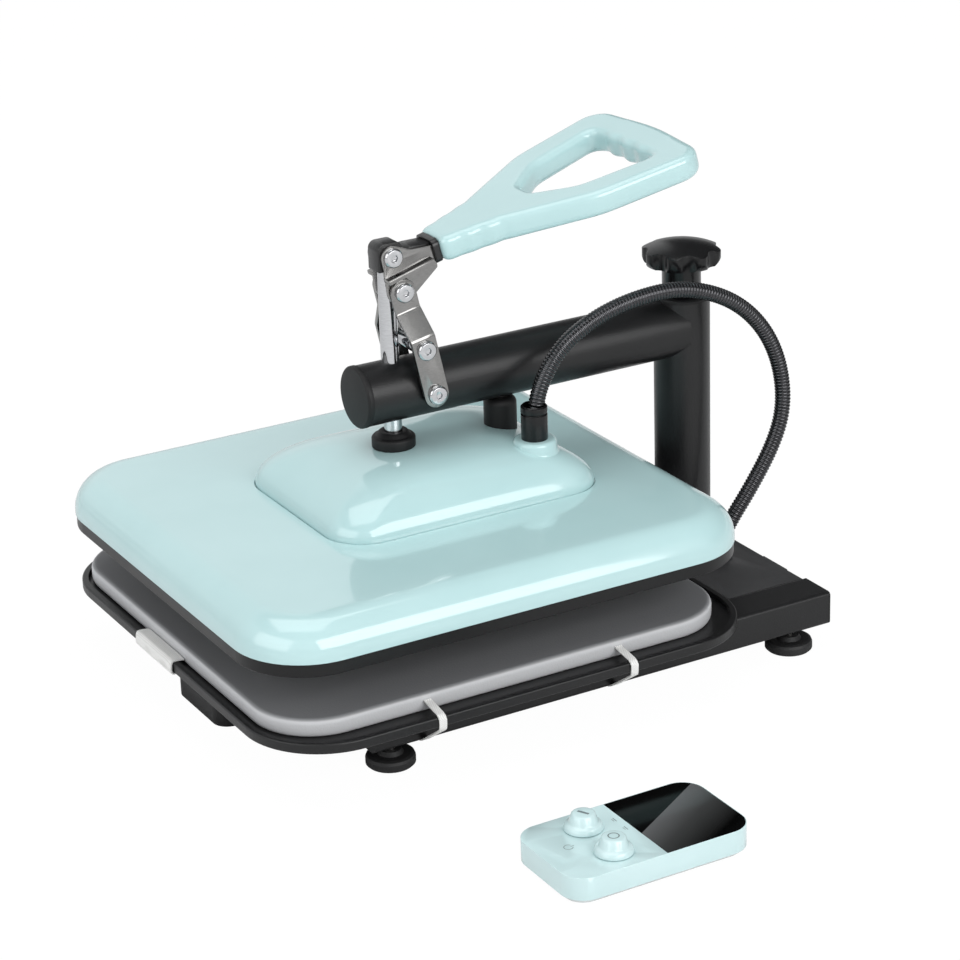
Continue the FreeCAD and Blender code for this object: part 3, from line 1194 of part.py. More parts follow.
def backing_plate():
    """Steel plate that spreads the rod's force, on four posts that stand on the heating plate."""
    plate = centred_block(BACKING_HALF_X, BACKING_HALF_Y, COVER_Y, BACKING_Z, BACKING_TOP_Z,
                           BACKING_CORNER_R)
    plate = plate.cut(rod_z(CUTOUT_R + SEAT_GAP, BACKING_Z - OVERRUN, BACKING_TOP_Z + OVERRUN, 0, CUTOUT_Y))
    return fused([plate] + [rod_z(STANDOFF_R, PLATE_TOP_Z, BACKING_Z, x, y) for x, y in standoff_places()])


def thermal_cutout():
    body = rod_z(CUTOUT_R, PLATE_TOP_Z, PLATE_TOP_Z + CUTOUT_H, 0, CUTOUT_Y)
    return fused([body, rod_z(CUTOUT_R - CUTOUT_NECK_IN, PLATE_TOP_Z, PLATE_TOP_Z + CUTOUT_H + CUTOUT_NECK_H,
                              0, CUTOUT_Y)])


def press_rod():
    """Chromed rod from the backing plate up through the arm, with a mounting flange at its foot."""
    top = BACKING_TOP_Z + ROD_FLANGE_H
    profile = [(0, BACKING_TOP_Z), (ROD_FLANGE_R, BACKING_TOP_Z), (ROD_FLANGE_R, top - ROD_FLANGE_BEVEL),
               (ROD_FLANGE_R - ROD_FLANGE_BEVEL, top), (ROD_R, top), (ROD_R, ROD_HEAD_Z), (0, ROD_HEAD_Z)]
    return revolved(profile)


def rod_head():
    """Dark end block that turns in the bracket."""
    half = BRACKET_INNER_X - FACE_GAP
    top = PIVOT_A_Z + ROD_HEAD_HALF_Y
    corners = [(-ROD_HEAD_HALF_Y, ROD_HEAD_Z, ROD_HEAD_FOOT_R),
               (ROD_HEAD_HALF_Y, ROD_HEAD_Z, ROD_HEAD_FOOT_R),
               (ROD_HEAD_HALF_Y, top, ROD_HEAD_EDGE_R), (-ROD_HEAD_HALF_Y, top, ROD_HEAD_EDGE_R)]
    head = profile_along_x(corners, -half, half)
    return head.cut(rod_x(PIN_A_R + RUN_GAP, -2 * half, 2 * half, 0, PIVOT_A_Z))


def rod_collar():
    """Locking collar where the rod meets the housing."""
    top = DOME_TOP_Z + COLLAR_H
    profile = [(ROD_R, DOME_TOP_Z), (COLLAR_R, DOME_TOP_Z), (COLLAR_R, top - COLLAR_BEVEL),
               (COLLAR_R - COLLAR_BEVEL, top),
               (COLLAR_NECK_FOOT_R, top), (COLLAR_NECK_R, top + COLLAR_NECK_H), (ROD_R, top + COLLAR_NECK_H)]
    return revolved(profile)


def guide_sleeve():
    """Black sleeve on the backing plate that slides on the arm's guide pin, its top edge well rounded."""
    sleeve = rod_z(GUIDE_SLEEVE_R, BACKING_TOP_Z, GUIDE_SLEEVE_TOP_Z, 0, GUIDE_Y)
    sleeve = rounded_at_z(sleeve, GUIDE_SLEEVE_TOP_Z, GUIDE_SLEEVE_EDGE_R)
    bore_z = GUIDE_SLEEVE_TOP_Z - GUIDE_BORE_DEPTH
    return sleeve.cut(rod_z(GUIDE_PIN_R + RUN_GAP, bore_z, GUIDE_SLEEVE_TOP_Z + OVERRUN, 0, GUIDE_Y))


# ---------------------------------------------------------------- conduit and glands
def gland(x, y, z, height):
    """Ferrule that grips the conduit: knurled-looking lower nut, waist groove and upper sleeve."""
    bore = CONDUIT_R + FACE_GAP
    mouth = bore + GLAND_MOUTH
    waist = GLAND_R - GLAND_GROOVE
    groove_z = z + height * GLAND_GROOVE_SHARE
    top = z + height
    profile = [(bore, z), (GLAND_R, z), (GLAND_R, groove_z - GLAND_GROOVE), (waist, groove_z),
               (GLAND_R, groove_z + GLAND_GROOVE), (GLAND_R, top - GLAND_RIM_R), (GLAND_R - GLAND_RIM_R, top),
               (mouth, top), (bore, z + GLAND_THROAT)]
    return revolved(profile, x, y)


def upper_gland_z():
    return DOME_TOP_Z + GLAND_BOSS_RISE


def conduit_gland():
    return gland(GLAND_X, GLAND_Y, upper_gland_z(), GLAND_H)


def base_gland():
    """Low collar on the deck, bored to the slant at which the conduit goes through."""
    top = DECK_TOP_Z + BASE_GLAND_H
    profile = [(0, DECK_TOP_Z), (GLAND_R, DECK_TOP_Z), (GLAND_R, top - GLAND_RIM_R),
               (GLAND_R - GLAND_RIM_R, top), (0, top)]
    slope = Vec(0, BASE_GLAND_LEAN, BASE_GLAND_H)
    foot = Vec(BASE_GLAND_X, BASE_GLAND_BORE_Y, DECK_TOP_Z) - slope
    bore = Part.makeCylinder(CONDUIT_R + FACE_GAP, 3 * slope.Length, foot, slope)
    return revolved(profile, BASE_GLAND_X, BASE_GLAND_Y).cut(bore)


def rounded_route(points):
    """Straight runs joined by tangent arcs, each as large as its two runs allow; also returns the radii."""
    edges = []
    radii = []
    last = points[0]
    for before, here, after in zip(points, points[1:], points[2:]):
        back = (before - here)
        ahead = (after - here)
        reach = CONDUIT_TURN_SHARE * min(back.Length, ahead.Length)
        back.normalize()
        ahead.normalize()
        half_angle = back.getAngle(ahead) / 2
        radius = reach * math.tan(half_angle)
        inward = Vec(back + ahead).normalize()
        crown = here + inward * (radius / math.sin(half_angle) - radius)
        start = here + back * reach
        stop = here + ahead * reach
        edges.append(Part.LineSegment(last, start).toShape())
        edges.append(Part.Arc(start, crown, stop).toShape())
        radii.append(radius)
        last = stop
    edges.append(Part.LineSegment(last, points[-1]).toShape())
    return Part.Wire(edges), radii


def conduit_tube():
    """Flexible conduit from the platen's gland over the arm's side and through the deck."""
    first = Vec(GLAND_X, GLAND_Y, upper_gland_z() + CONDUIT_INSET)
    points = [first] + [Vec(*p) for p in CONDUIT_POINTS]
    path, radii = rounded_route(points)
    section = Part.Wire(Part.makeCircle(CONDUIT_R, first, Vec(0, 0, 1)))
    tube = path.makePipeShell([section], True, False)
    return tube, path, radii


def conduit():
    tube, path, radii = conduit_tube()
    expected = math.pi * CONDUIT_R ** 2 * path.Length
    print("conduit length %.1f  least radius %.1f  volume ratio %.4f" % (path.Length, min(radii),
                                                                         tube.Volume / expected))
    print("conduit radii", [round(r) for r in radii])
    return tube


# ---------------------------------------------------------------- control pad
def pad_box(inset, z0, z1, radius):
    half_x = PAD_BOX_HALF_X - inset
    half_y = PAD_BOX_HALF_Y - inset
    return rounded_block(PAD_BOX_X - half_x, PAD_BOX_X + half_x, PAD_BOX_Y - half_y, PAD_BOX_Y + half_y, z0, z1,
                         radius)


def dial_places():
    return [(PAD_BOX_X - DIAL_PITCH / 2, DIAL_Y), (PAD_BOX_X + DIAL_PITCH / 2, DIAL_Y)]


def display_solid(inset, z0):
    window = pad_box(DISPLAY_INSET + inset, z0, PAD_BOX_H, PAD_BOX_CORNER_R - DISPLAY_INSET - inset)
    return window.common(block(PAD_BOX_X - PAD_BOX_HALF_X, PAD_BOX_X + PAD_BOX_HALF_X,
                               DISPLAY_FRONT_Y + inset, PAD_BOX_Y + PAD_BOX_HALF_Y,
                               z0, PAD_BOX_H))


def pad_top_shell():
    outer = pad_box(0, PAD_SPLIT_Z, PAD_BOX_H, PAD_BOX_CORNER_R)
    outer = rounded_at_z(outer, PAD_BOX_H, DISPLAY_INSET / 2)
    inner = pad_box(PAD_BOX_WALL, PAD_SPLIT_Z - OVERRUN, PAD_BOX_H - PAD_BOX_WALL,
                    PAD_BOX_CORNER_R - PAD_BOX_WALL)
    shell = outer.cut(inner).cut(display_solid(0, PAD_BOX_H - DISPLAY_T))
    for x, y in dial_places():
        shell = shell.cut(rod_z(DIAL_SHAFT_R + THROUGH_GAP, 0, PAD_BOX_H + OVERRUN, x, y))
    return shell


def pad_outline(inset, z):
    corners = rectangle_corners(PAD_BOX_X - PAD_BOX_HALF_X + inset, PAD_BOX_X + PAD_BOX_HALF_X - inset,
                                PAD_BOX_Y - PAD_BOX_HALF_Y + inset, PAD_BOX_Y + PAD_BOX_HALF_Y - inset,
                                PAD_BOX_CORNER_R - inset)
    return rounded_face(corners, lambda u, v: Vec(u, v, z)).OuterWire


def pad_bottom_shell():
    """Pale lower shell, drawn in towards the bench."""
    outer = Part.makeLoft([pad_outline(PAD_FLOOR_INSET, PAD_FOOT_H), pad_outline(0, PAD_SPLIT_Z)], True, True)
    inset = PAD_FLOOR_INSET + PAD_BOX_WALL
    return outer.cut(pad_box(inset, PAD_FOOT_H + PAD_BOX_WALL, PAD_SPLIT_Z + OVERRUN,
                             PAD_BOX_CORNER_R - inset))


def pad_feet():
    spread_x = PAD_BOX_HALF_X - PAD_FOOT_INSET
    spread_y = PAD_BOX_HALF_Y - PAD_FOOT_INSET
    places = [(PAD_BOX_X + sx * spread_x, PAD_BOX_Y + sy * spread_y) for sx in (-1, 1) for sy in (-1, 1)]
    return Part.Compound([rod_z(PAD_FOOT_R, 0, PAD_FOOT_H, x, y) for x, y in places])


def display_glass():
    return display_solid(0, PAD_BOX_H - DISPLAY_T)


def pad_board():
    """Circuit board with an encoder under each dial."""
    inset = PAD_BOX_WALL + BOARD_GAP
    board = pad_box(inset, BOARD_Z, BOARD_Z + BOARD_T, PAD_BOX_CORNER_R - inset)
    top = BOARD_Z + ENCODER_H
    encoders = []
    for x, y in dial_places():
        can = block(x - ENCODER_HALF, x + ENCODER_HALF, y - ENCODER_HALF, y + ENCODER_HALF, BOARD_Z, top)
        encoders.append(can.cut(rod_z(DIAL_SHAFT_R + THROUGH_GAP, BOARD_Z + BOARD_T, top + OVERRUN, x, y)))
    post_x = PAD_BOX_HALF_X - BOARD_POST_INSET_X
    post_y = PAD_BOX_HALF_Y - BOARD_POST_INSET_Y
    supports = [rod_z(BOARD_POST_R, PAD_FOOT_H + PAD_BOX_WALL, BOARD_Z, PAD_BOX_X + sx * post_x,
                      PAD_BOX_Y + sy * post_y)
                for sx in (-1, 1) for sy in (-1, 1)]
    return fused([board] + encoders + supports)


def dial(x, y):
    """Stepped conical dial on a short shaft."""
    top = DIAL_Z + DIAL_H
    profile = [(0, DIAL_Z - DIAL_SHAFT_L), (DIAL_SHAFT_R, DIAL_Z - DIAL_SHAFT_L), (DIAL_SHAFT_R, DIAL_Z),
               (DIAL_BASE_R, DIAL_Z), (DIAL_BASE_R, DIAL_Z + DIAL_SKIRT_H), (DIAL_BASE_R - DIAL_STEP_IN,
                                                                             DIAL_Z + DIAL_STEP_H),
               (DIAL_WAIST_R, DIAL_Z + DIAL_STEP_H + DIAL_STEP_IN), (DIAL_TOP_R, top - DIAL_EDGE),
               (DIAL_TOP_R - DIAL_EDGE, top), (0, top)]
    return revolved(profile, x, y)


def left_dial():
    return dial(*dial_places()[0])


def right_dial():
    return dial(*dial_places()[1])


# ---------------------------------------------------------------- writing
SUBPARTS = [
    left_side_beam, right_side_beam, beam_end_caps, cross_rails, spine_channel, power_board,
    power_transformer, rear_deck, deck_floor, power_inlet, rubber_feet, foot_studs,
    platen_tray, silicone_pad, elastic_straps, fabric_tag,
    spindle, lift_nut, base_gland, conduit,
    lift_sleeve, lift_screw, pressure_knob,
    post_tube, post_bushes, post_cap, arm_tube, arm_cap, rod_guide_tube, guide_pin, link_pivot_pin,
    left_link, right_link, link_spacer, link_bolts,
    bracket_plates, bracket_pin, handle_shank, handle_ferrule, handle_grip,
    heat_cover, dome_housing, rim_frame, heating_plate, heating_element, insulation_mat, backing_plate,
    thermal_cutout, press_rod, rod_head, rod_collar, guide_sleeve, conduit_gland,
    pad_top_shell, pad_bottom_shell, pad_feet, display_glass, pad_board, left_dial, right_dial,
]


def main():
    os.makedirs("parts", exist_ok=True)
    for make in SUBPARTS:
        shape = make()
        shape.exportStep(os.path.join("parts", make.__name__ + ".step"))
        box = shape.BoundBox
        print("%-20s solids %d valid %s volume %9.1f  x %.1f..%.1f y %.1f..%.1f z %.1f..%.1f" % (
            make.__name__, len(shape.Solids), shape.isValid(), shape.Volume,
            box.XMin, box.XMax, box.YMin, box.YMax, box.ZMin, box.ZMax))


main()
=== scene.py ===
"""Swing-away bench heat press with a loose control pad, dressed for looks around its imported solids."""

import json
import math

import bmesh
import bpy
from mathutils import Matrix, Vector, noise


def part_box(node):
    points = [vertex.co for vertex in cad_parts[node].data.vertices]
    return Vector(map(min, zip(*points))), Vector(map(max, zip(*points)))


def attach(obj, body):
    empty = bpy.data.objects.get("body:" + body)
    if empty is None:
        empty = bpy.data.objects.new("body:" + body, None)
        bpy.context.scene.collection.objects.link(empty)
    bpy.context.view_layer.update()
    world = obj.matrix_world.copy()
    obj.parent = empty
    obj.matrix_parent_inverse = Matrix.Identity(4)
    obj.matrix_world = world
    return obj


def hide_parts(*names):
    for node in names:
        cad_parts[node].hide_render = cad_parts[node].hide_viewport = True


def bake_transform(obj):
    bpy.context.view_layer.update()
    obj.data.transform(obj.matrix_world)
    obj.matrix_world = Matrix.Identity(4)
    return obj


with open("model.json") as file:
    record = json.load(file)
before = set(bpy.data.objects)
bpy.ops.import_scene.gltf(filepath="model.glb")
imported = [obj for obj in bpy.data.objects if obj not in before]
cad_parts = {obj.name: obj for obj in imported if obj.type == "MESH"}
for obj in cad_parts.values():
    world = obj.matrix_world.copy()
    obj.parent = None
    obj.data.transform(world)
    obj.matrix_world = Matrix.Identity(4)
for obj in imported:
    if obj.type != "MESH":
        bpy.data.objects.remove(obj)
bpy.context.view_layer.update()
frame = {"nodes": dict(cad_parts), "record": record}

bl_info = {
    "name": "Bench heat press",
    "version": (1, 0, 0),
    "blender": (4, 5, 0),
    "location": "3D View > Sidebar > Heat press",
    "description": "Builds the covers, grip, work pad, conduit and finishes of a swing-away heat press",
    "category": "Object",
}

MM = 0.001


# ---- what a user may change
def length(label, default, about):
    """Property that holds a length in metres."""
    return bpy.props.FloatProperty(name=label, description=about, default=default, unit="LENGTH")


def tone(label, default, about):
    """Property that holds an sRGB colour as hex text."""
    return bpy.props.StringProperty(name=label, description=about, default=default)


class PressSizes(bpy.types.PropertyGroup):
    """Sizes of the dressed pieces, in metres"""
    cover_half_x: length("Cover half width", 0.1985, "Half the cover's width")
    cover_half_y: length("Cover half depth", 0.2080, "Half the cover's depth")
    cover_corner: length("Cover corner", 0.0586, "Radius of the cover's corners in plan")
    cover_shoulder: length("Cover shoulder", 0.0260, "Radius between the side and the top")
    cover_crown: length("Cover crown", 0.0008, "Rise of the cover's middle")
    dome_side: length("Housing side slope", 0.0612, "Reach of the left and right slopes")
    dome_end: length("Housing end slope", 0.0823, "Reach of the front and rear slopes")
    pad_edge: length("Pad edge", 0.0045, "Rounding along the work pad's upper edge")
    conduit_pitch: length("Conduit pitch", 0.0027, "Distance between two turns of the conduit")
    conduit_groove: length("Conduit groove", 0.0007, "Depth of the groove between two turns")
    grip_wave: length("Grip wave", 0.0016, "Depth of the finger hollows in the grip's bar")
    floor_reach: length("Floor reach", 9.0, "Half the width of the floor")


class PressColours(bpy.types.PropertyGroup):
    """Main colours, as sRGB hex text"""
    mint: tone("Mint", "#BDDDDE", "Cover, housing and grip")
    pale_mint: tone("Pale mint", "#CFE7E8", "Top and dials of the control pad")
    black_coat: tone("Black coat", "#171718", "Powder coat of the tubes")
    deck_coat: tone("Deck coat", "#404041", "Powder coat of the deck")
    silicone: tone("Silicone", "#CFD0D2", "Work pad")
    webbing: tone("Webbing", "#FAFAF8", "Straps and tag")


# ---- colours and nodes
def srgb(hex_text):
    """Linear colour of an sRGB hex value, opaque."""
    linear = []
    for i in (1, 3, 5):
        c = int(hex_text[i:i + 2], 16) / 255
        linear.append(c / 12.92 if c <= 0.04045 else ((c + 0.055) / 1.055) ** 2.4)
    return (*linear, 1.0)


WHITE = srgb("#FFFFFF")


def set_inputs(tree, node, values):
    """An input given as a socket is linked; anything else is its value."""
    for key, value in values.items():
        if isinstance(value, bpy.types.NodeSocket):
            tree.links.new(value, node.inputs[key])
        else:
            node.inputs[key].default_value = value


def add(tree, kind, inputs=None, **settings):
    """One new node with its settings and inputs."""
    made = tree.nodes.new(kind)
    for key, value in settings.items():
        setattr(made, key, value)
    set_inputs(tree, made, inputs or {})
    return made


def colour_steps(tree, factor, *steps):
    """Colour ramp through (position, hex) steps."""
    ramp = add(tree, "ShaderNodeValToRGB", {"Fac": factor})
    band = ramp.color_ramp
    for place, (position, colour) in enumerate(steps):
        stop = band.elements[place] if place < 2 else band.elements.new(position)
        stop.position = position
        stop.color = srgb(colour)
    return ramp.outputs["Color"]


def speckle(tree, here, scale, detail=2.0, roughness=0.5, distortion=0.0):
    """Noise from 0 to 1, with scale spots to the metre."""
    return add(tree, "ShaderNodeTexNoise", {"Vector": here, "Scale": scale, "Detail": detail,
                                            "Roughness": roughness, "Distortion": distortion}).outputs["Fac"]


def cells(tree, here, scale):
    """Distance from the middle of a cell, with scale cells to the metre."""
    return add(tree, "ShaderNodeTexVoronoi", {"Vector": here, "Scale": scale}).outputs["Distance"]


def stripes(tree, here, scale, direction, distortion=0.0):
    return add(tree, "ShaderNodeTexWave", {"Vector": here, "Scale": scale, "Distortion": distortion},
               bands_direction=direction).outputs["Fac"]


def relief(tree, height, strength, depth):
    """Bump of a height from 0 to 1 that stands for a depth in metres."""
    return add(tree, "ShaderNodeBump", {"Height": height, "Strength": strength,
                                        "Distance": depth}).outputs["Normal"]


def spread(tree, value, low, high, start=0.0, end=1.0):
    """Takes a value between start and end to the range from low to high."""
    return add(tree, "ShaderNodeMapRange", {"Value": value, "From Min": start, "From Max": end,
                                            "To Min": low, "To Max": high}).outputs["Result"]


def combined(tree, operation, a, b):
    return add(tree, "ShaderNodeMath", {0: a, 1: b}, operation=operation).outputs["Value"]


def measured(tree, vector, direction):
    """How far a vector goes in a direction."""
    return add(tree, "ShaderNodeVectorMath", {0: vector, 1: direction},
               operation="DOT_PRODUCT").outputs["Value"]


def mixed(tree, share, first, second):
    return add(tree, "ShaderNodeMixShader", {0: share, 1: first, 2: second}).outputs["Shader"]


def upward_part(tree, vector):
    return add(tree, "ShaderNodeSeparateXYZ", {"Vector": vector}).outputs["Z"]


def blank_tree(owner):
    """Node tree of a material or world, emptied."""
    owner.use_nodes = True
    owner.node_tree.nodes.clear()
    return owner.node_tree


def new_finish(name, recipe, settings):
    """Node material whose recipe works out the shader's inputs from the surface's own coordinates."""
    tree = blank_tree(bpy.data.materials.new(name))
    shader = add(tree, "ShaderNodeBsdfPrincipled")
    add(tree, "ShaderNodeOutputMaterial", {"Surface": shader.outputs["BSDF"]})
    here = add(tree, "ShaderNodeTexCoord").outputs["Object"]
    set_inputs(tree, shader, recipe(tree, here, *settings))


# ---- recipes of the materials
def glossy_moulding(tree, here, base, shade, roughness, coat=0.5, ior=1.54):
    """Injection-moulded plastic with a polished face, a faint flow mottling and hardly any orange peel."""
    mottle = speckle(tree, here, 9.0, 3.0, 0.6)
    haze = speckle(tree, here, 22.0, 4.0)
    peel = speckle(tree, here, 160.0)
    return {
        "Base Color": colour_steps(tree, mottle, (0.30, shade), (0.72, base)),
        "Roughness": spread(tree, haze, roughness * 0.8, roughness * 1.35), "IOR": ior,
        "Coat Weight": coat, "Coat Roughness": 0.04,
        "Normal": relief(tree, peel, 0.012, 1 * MM)}


def matt_moulding(tree, here, base, shade, roughness=0.52):
    """Nylon or ABS from a spark-eroded mould: an even face with a leather-like grain about 0.6 mm across."""
    wear = speckle(tree, here, 30.0, 6.0, 0.65)
    return {
        "Base Color": colour_steps(tree, wear, (0.35, shade), (0.70, base)),
        "Roughness": spread(tree, wear, roughness - 0.08, roughness + 0.10), "IOR": 1.4,
        "Normal": relief(tree, cells(tree, here, 1600.0), 0.18, 0.4 * MM)}


def powder_coat(tree, here, base, shade, roughness):
    """Polyester powder coat on steel: satin, with orange peel in cells about 1.2 mm across."""
    drift = speckle(tree, here, 14.0, 5.0, 0.6)
    return {
        "Base Color": colour_steps(tree, drift, (0.30, shade), (0.75, base)),
        "Roughness": spread(tree, drift, roughness - 0.06, roughness + 0.09), "IOR": 1.45,
        "Normal": relief(tree, speckle(tree, here, 800.0), 0.22, 0.5 * MM)}


DRAWN_LINES = (1.0, 1.0, 18.0)      # squeezed along Z, so that the lines of plated strip run level


def plated_steel(tree, here, base, shade, roughness):
    """Plated or bare steel: bright metal over the fine lines of the rolled and polished sheet."""
    drawn = add(tree, "ShaderNodeMapping", {"Vector": here, "Scale": DRAWN_LINES}).outputs["Vector"]
    streak = speckle(tree, drawn, 260.0, 4.0, 0.6)
    stain = speckle(tree, here, 45.0, 5.0)
    return {
        "Base Color": colour_steps(tree, streak, (0.25, shade), (0.75, base)), "Metallic": 1.0,
        "Roughness": spread(tree, stain, roughness * 0.7, roughness * 1.5),
        "Normal": relief(tree, streak, 0.03, 0.3 * MM)}


def painted_casting(tree, here, base, shade):
    """Sand-cast iron under semi-gloss enamel: lumps a few millimetres apart show through the paint."""
    lumps = speckle(tree, here, 420.0, 5.0, 0.55)
    return {
        "Base Color": colour_steps(tree, lumps, (0.30, shade), (0.70, base)), "Roughness": 0.33, "IOR": 1.5,
        "Coat Weight": 0.2, "Coat Roughness": 0.15, "Normal": relief(tree, lumps, 0.28, 0.6 * MM)}


def moulded_rubber(tree, here, base, bloom):
    """Compression-moulded rubber: dull, with a soft bloom in patches and a fine skin grain."""
    patches = speckle(tree, here, 55.0, 6.0, 0.7)
    return {
        "Base Color": colour_steps(tree, patches, (0.35, base), (0.80, bloom)), "Roughness": 0.62,
        "IOR": 1.52, "Normal": relief(tree, speckle(tree, here, 1300.0), 0.15, 0.3 * MM)}


def silicone_foam(tree, here, base, painted_top_shade):
    """Foamed silicone with its moulded skin: pores about 1.5 mm apart, with painted shade darkening its
    upward faces, where the platen above shades it.
    """
    rough = combined(tree, "ADD", cells(tree, here, 650.0), speckle(tree, here, 1100.0, 3.0))
    # painted shade: faces that point up blend toward the darker colour, in soft patches
    facing = upward_part(tree, add(tree, "ShaderNodeNewGeometry").outputs["Normal"])
    top = spread(tree, facing, 0.0, 1.0, 0.55, 0.98)
    shade_patches = spread(tree, speckle(tree, here, 40.0, 6.0, 0.7), 0.6, 0.67)
    return {
        "Base Color": colour_steps(tree, combined(tree, "MULTIPLY", top, shade_patches), (0.0, base), (0.62, painted_top_shade)),
        "Roughness": 0.58, "IOR": 1.41, "Normal": relief(tree, rough, 0.16, 0.5 * MM)}


WEAVE_PITCH = 0.9 * MM      # coarser than the real one, so that it shows


def woven_webbing(tree, here, base, shade):
    """Knitted elastic or woven tape, with ribs and picks."""
    turns = 1 / (WEAVE_PITCH * math.pi)
    cloth = combined(tree, "MULTIPLY", stripes(tree, here, turns, "Y", 0.4),
                     stripes(tree, here, turns, "DIAGONAL", 0.4))
    return {
        "Base Color": colour_steps(tree, cloth, (0.0, shade), (0.55, base)), "Roughness": 0.82,
        "Sheen Weight": 0.25, "IOR": 1.5, "Normal": relief(tree, cloth, 0.5, 0.3 * MM)}


def coated_aluminium(tree, here, base, shade):
    """Cast aluminium with a baked non-stick coat: dark, satin and slightly speckled."""
    specks = speckle(tree, here, 700.0, 4.0)
    return {
        "Base Color": colour_steps(tree, specks, (0.35, shade), (0.70, base)), "Metallic": 0.35,
        "Roughness": 0.44, "Normal": relief(tree, specks, 0.12, 0.3 * MM)}


def turned_brass(tree, here, base, shade):
    """Turned brass: warm metal with tool marks round the bore."""
    marks = stripes(tree, here, 420.0, "Z")
    return {
        "Base Color": colour_steps(tree, marks, (0.0, shade), (1.0, base)), "Metallic": 1.0,
        "Roughness": 0.3, "Normal": relief(tree, marks, 0.1, 0.3 * MM)}


def felted_fibre(tree, here, base, shade):
    """Needled ceramic felt: cream, soft and hairy."""
    hair = speckle(tree, here, 500.0, 8.0, 0.5, 1.2)
    return {
        "Base Color": colour_steps(tree, hair, (0.30, shade), (0.70, base)), "Roughness": 0.95,
        "Normal": relief(tree, hair, 0.6, 0.8 * MM)}


def solder_mask(tree, here, base, shade, track):
    """Circuit board: green lacquer over copper tracks about 1.5 mm apart."""
    tracks = add(tree, "ShaderNodeTexBrick", {"Vector": here, "Scale": 320.0, "Mortar Size": 0.12,
                                              "Color1": srgb(shade), "Color2": srgb(base),
                                              "Mortar": srgb(track)})
    return {"Base Color": tracks.outputs["Color"], "Roughness": 0.3, "IOR": 1.5}


REFLECTION_ACROSS = (0.853, 0.521, 0.0)   # direction across the slanted edge of the painted reflection on the display
REFLECTION_LINE = 0.3131                  # how far that edge lies in that direction, in metres
REFLECTION_FADE = 0.048


def dark_glass(tree, here):
    """Back-printed acrylic window: black and flat, with a painted reflection, a grey band beyond a slanted
    line.
    """
    # painted reflection: grey from the slanted line, fading back to black
    sheen = spread(tree, measured(tree, here, REFLECTION_ACROSS), 0.0, 1.0, REFLECTION_LINE, REFLECTION_LINE + REFLECTION_FADE)
    colour = colour_steps(tree, sheen, (0.0, "#020202"), (0.008, "#5C5D5E"), (0.45, "#3A3B3B"),
                          (1.0, "#040404"))
    return {"Base Color": colour, "Roughness": 0.06, "IOR": 1.3, "Specular IOR Level": 0.15}


# ---- mesh helpers
CORNER_STEPS = 14
SIDE_STEPS = 10
CORNERS = ((1, -1, -90), (1, 1, 0), (-1, 1, 90), (-1, -1, 180))    # side in X, in Y, and first angle
WELD = 0.002 * MM
NODE_WELD = 0.001 * MM


def rounded_loop(half_x, half_y, centre_y, radius, z, centre_x=0.0):
    """Points round a rounded rectangle, the same number whatever its size, so that loops can be joined."""
    def on_corner(corner, step):
        side_x, side_y, first = corner
        angle = math.radians(first + 90 * step / CORNER_STEPS)
        return Vector((centre_x + side_x * (half_x - radius) + radius * math.cos(angle),
                       centre_y + side_y * (half_y - radius) + radius * math.sin(angle), z))

    points = []
    for corner, following in zip(CORNERS, CORNERS[1:] + CORNERS[:1]):
        points += [on_corner(corner, step) for step in range(CORNER_STEPS + 1)]
        end, start = points[-1], on_corner(following, 0)
        points += [end.lerp(start, step / SIDE_STEPS) for step in range(1, SIDE_STEPS)]
    return points


def skin(mesh, loops, cap_first=False, cap_last=False):
    """Quads between equal loops of points, with optional caps."""
    rings = [[mesh.verts.new(p) for p in loop] for loop in loops]
    n = len(rings[0])
    for low, high in zip(rings, rings[1:]):
        for i in range(n):
            mesh.faces.new((low[i], low[(i + 1) % n], high[(i + 1) % n], high[i]))
    if cap_first:
        mesh.faces.new(list(reversed(rings[0])))
    if cap_last:
        mesh.faces.new(rings[-1])


def smooth(data, angle):
    """Smooth shading, but for edges sharper than the angle in degrees."""
    data.polygons.foreach_set("use_smooth", [True] * len(data.polygons))
    data.set_sharp_from_angle(angle=math.radians(angle))


def link(name, data):
    made = bpy.data.objects.new(name, data)
    bpy.context.scene.collection.objects.link(made)
    return made


def place(data, name, look, angle=40.0):
    """Object of a mesh, with one material."""
    data.materials.clear()
    data.materials.append(look)
    smooth(data, angle)
    return link(name, data)


def to_object(mesh, name, look, angle=40.0):
    """Object of a bmesh, smooth except at sharp edges."""
    bmesh.ops.remove_doubles(mesh, verts=mesh.verts, dist=WELD)
    bmesh.ops.recalc_face_normals(mesh, faces=mesh.faces)
    data = bpy.data.meshes.new(name)
    mesh.to_mesh(data)
    mesh.free()
    return place(data, name, look, angle)


def evaluated_mesh(made):
    """New mesh of an object or curve as its modifiers leave it."""
    bpy.context.view_layer.update()
    return bpy.data.meshes.new_from_object(made.evaluated_get(bpy.context.evaluated_depsgraph_get()))


def apply_modifiers(made):
    baked = evaluated_mesh(made)
    baked.name = made.data.name
    made.modifiers.clear()
    made.data = baked


def edit_mesh(data, work):
    """Runs some work on a mesh as a bmesh."""
    mesh = bmesh.new()
    mesh.from_mesh(data)
    work(mesh)
    mesh.to_mesh(data)
    mesh.free()


def copied_node(node, name, look):
    """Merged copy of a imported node's mesh as an object of its own."""
    data = frame["nodes"][node].data.copy()
    edit_mesh(data, lambda mesh: bmesh.ops.remove_doubles(mesh, verts=mesh.verts, dist=NODE_WELD))
    data.name = name
    return place(data, name, look)


FLAT_ANGLE = math.radians(0.6)      # flatter edges than this are dissolved
EDGE_ANGLE = math.radians(32.0)     # sharper edges than this are eased


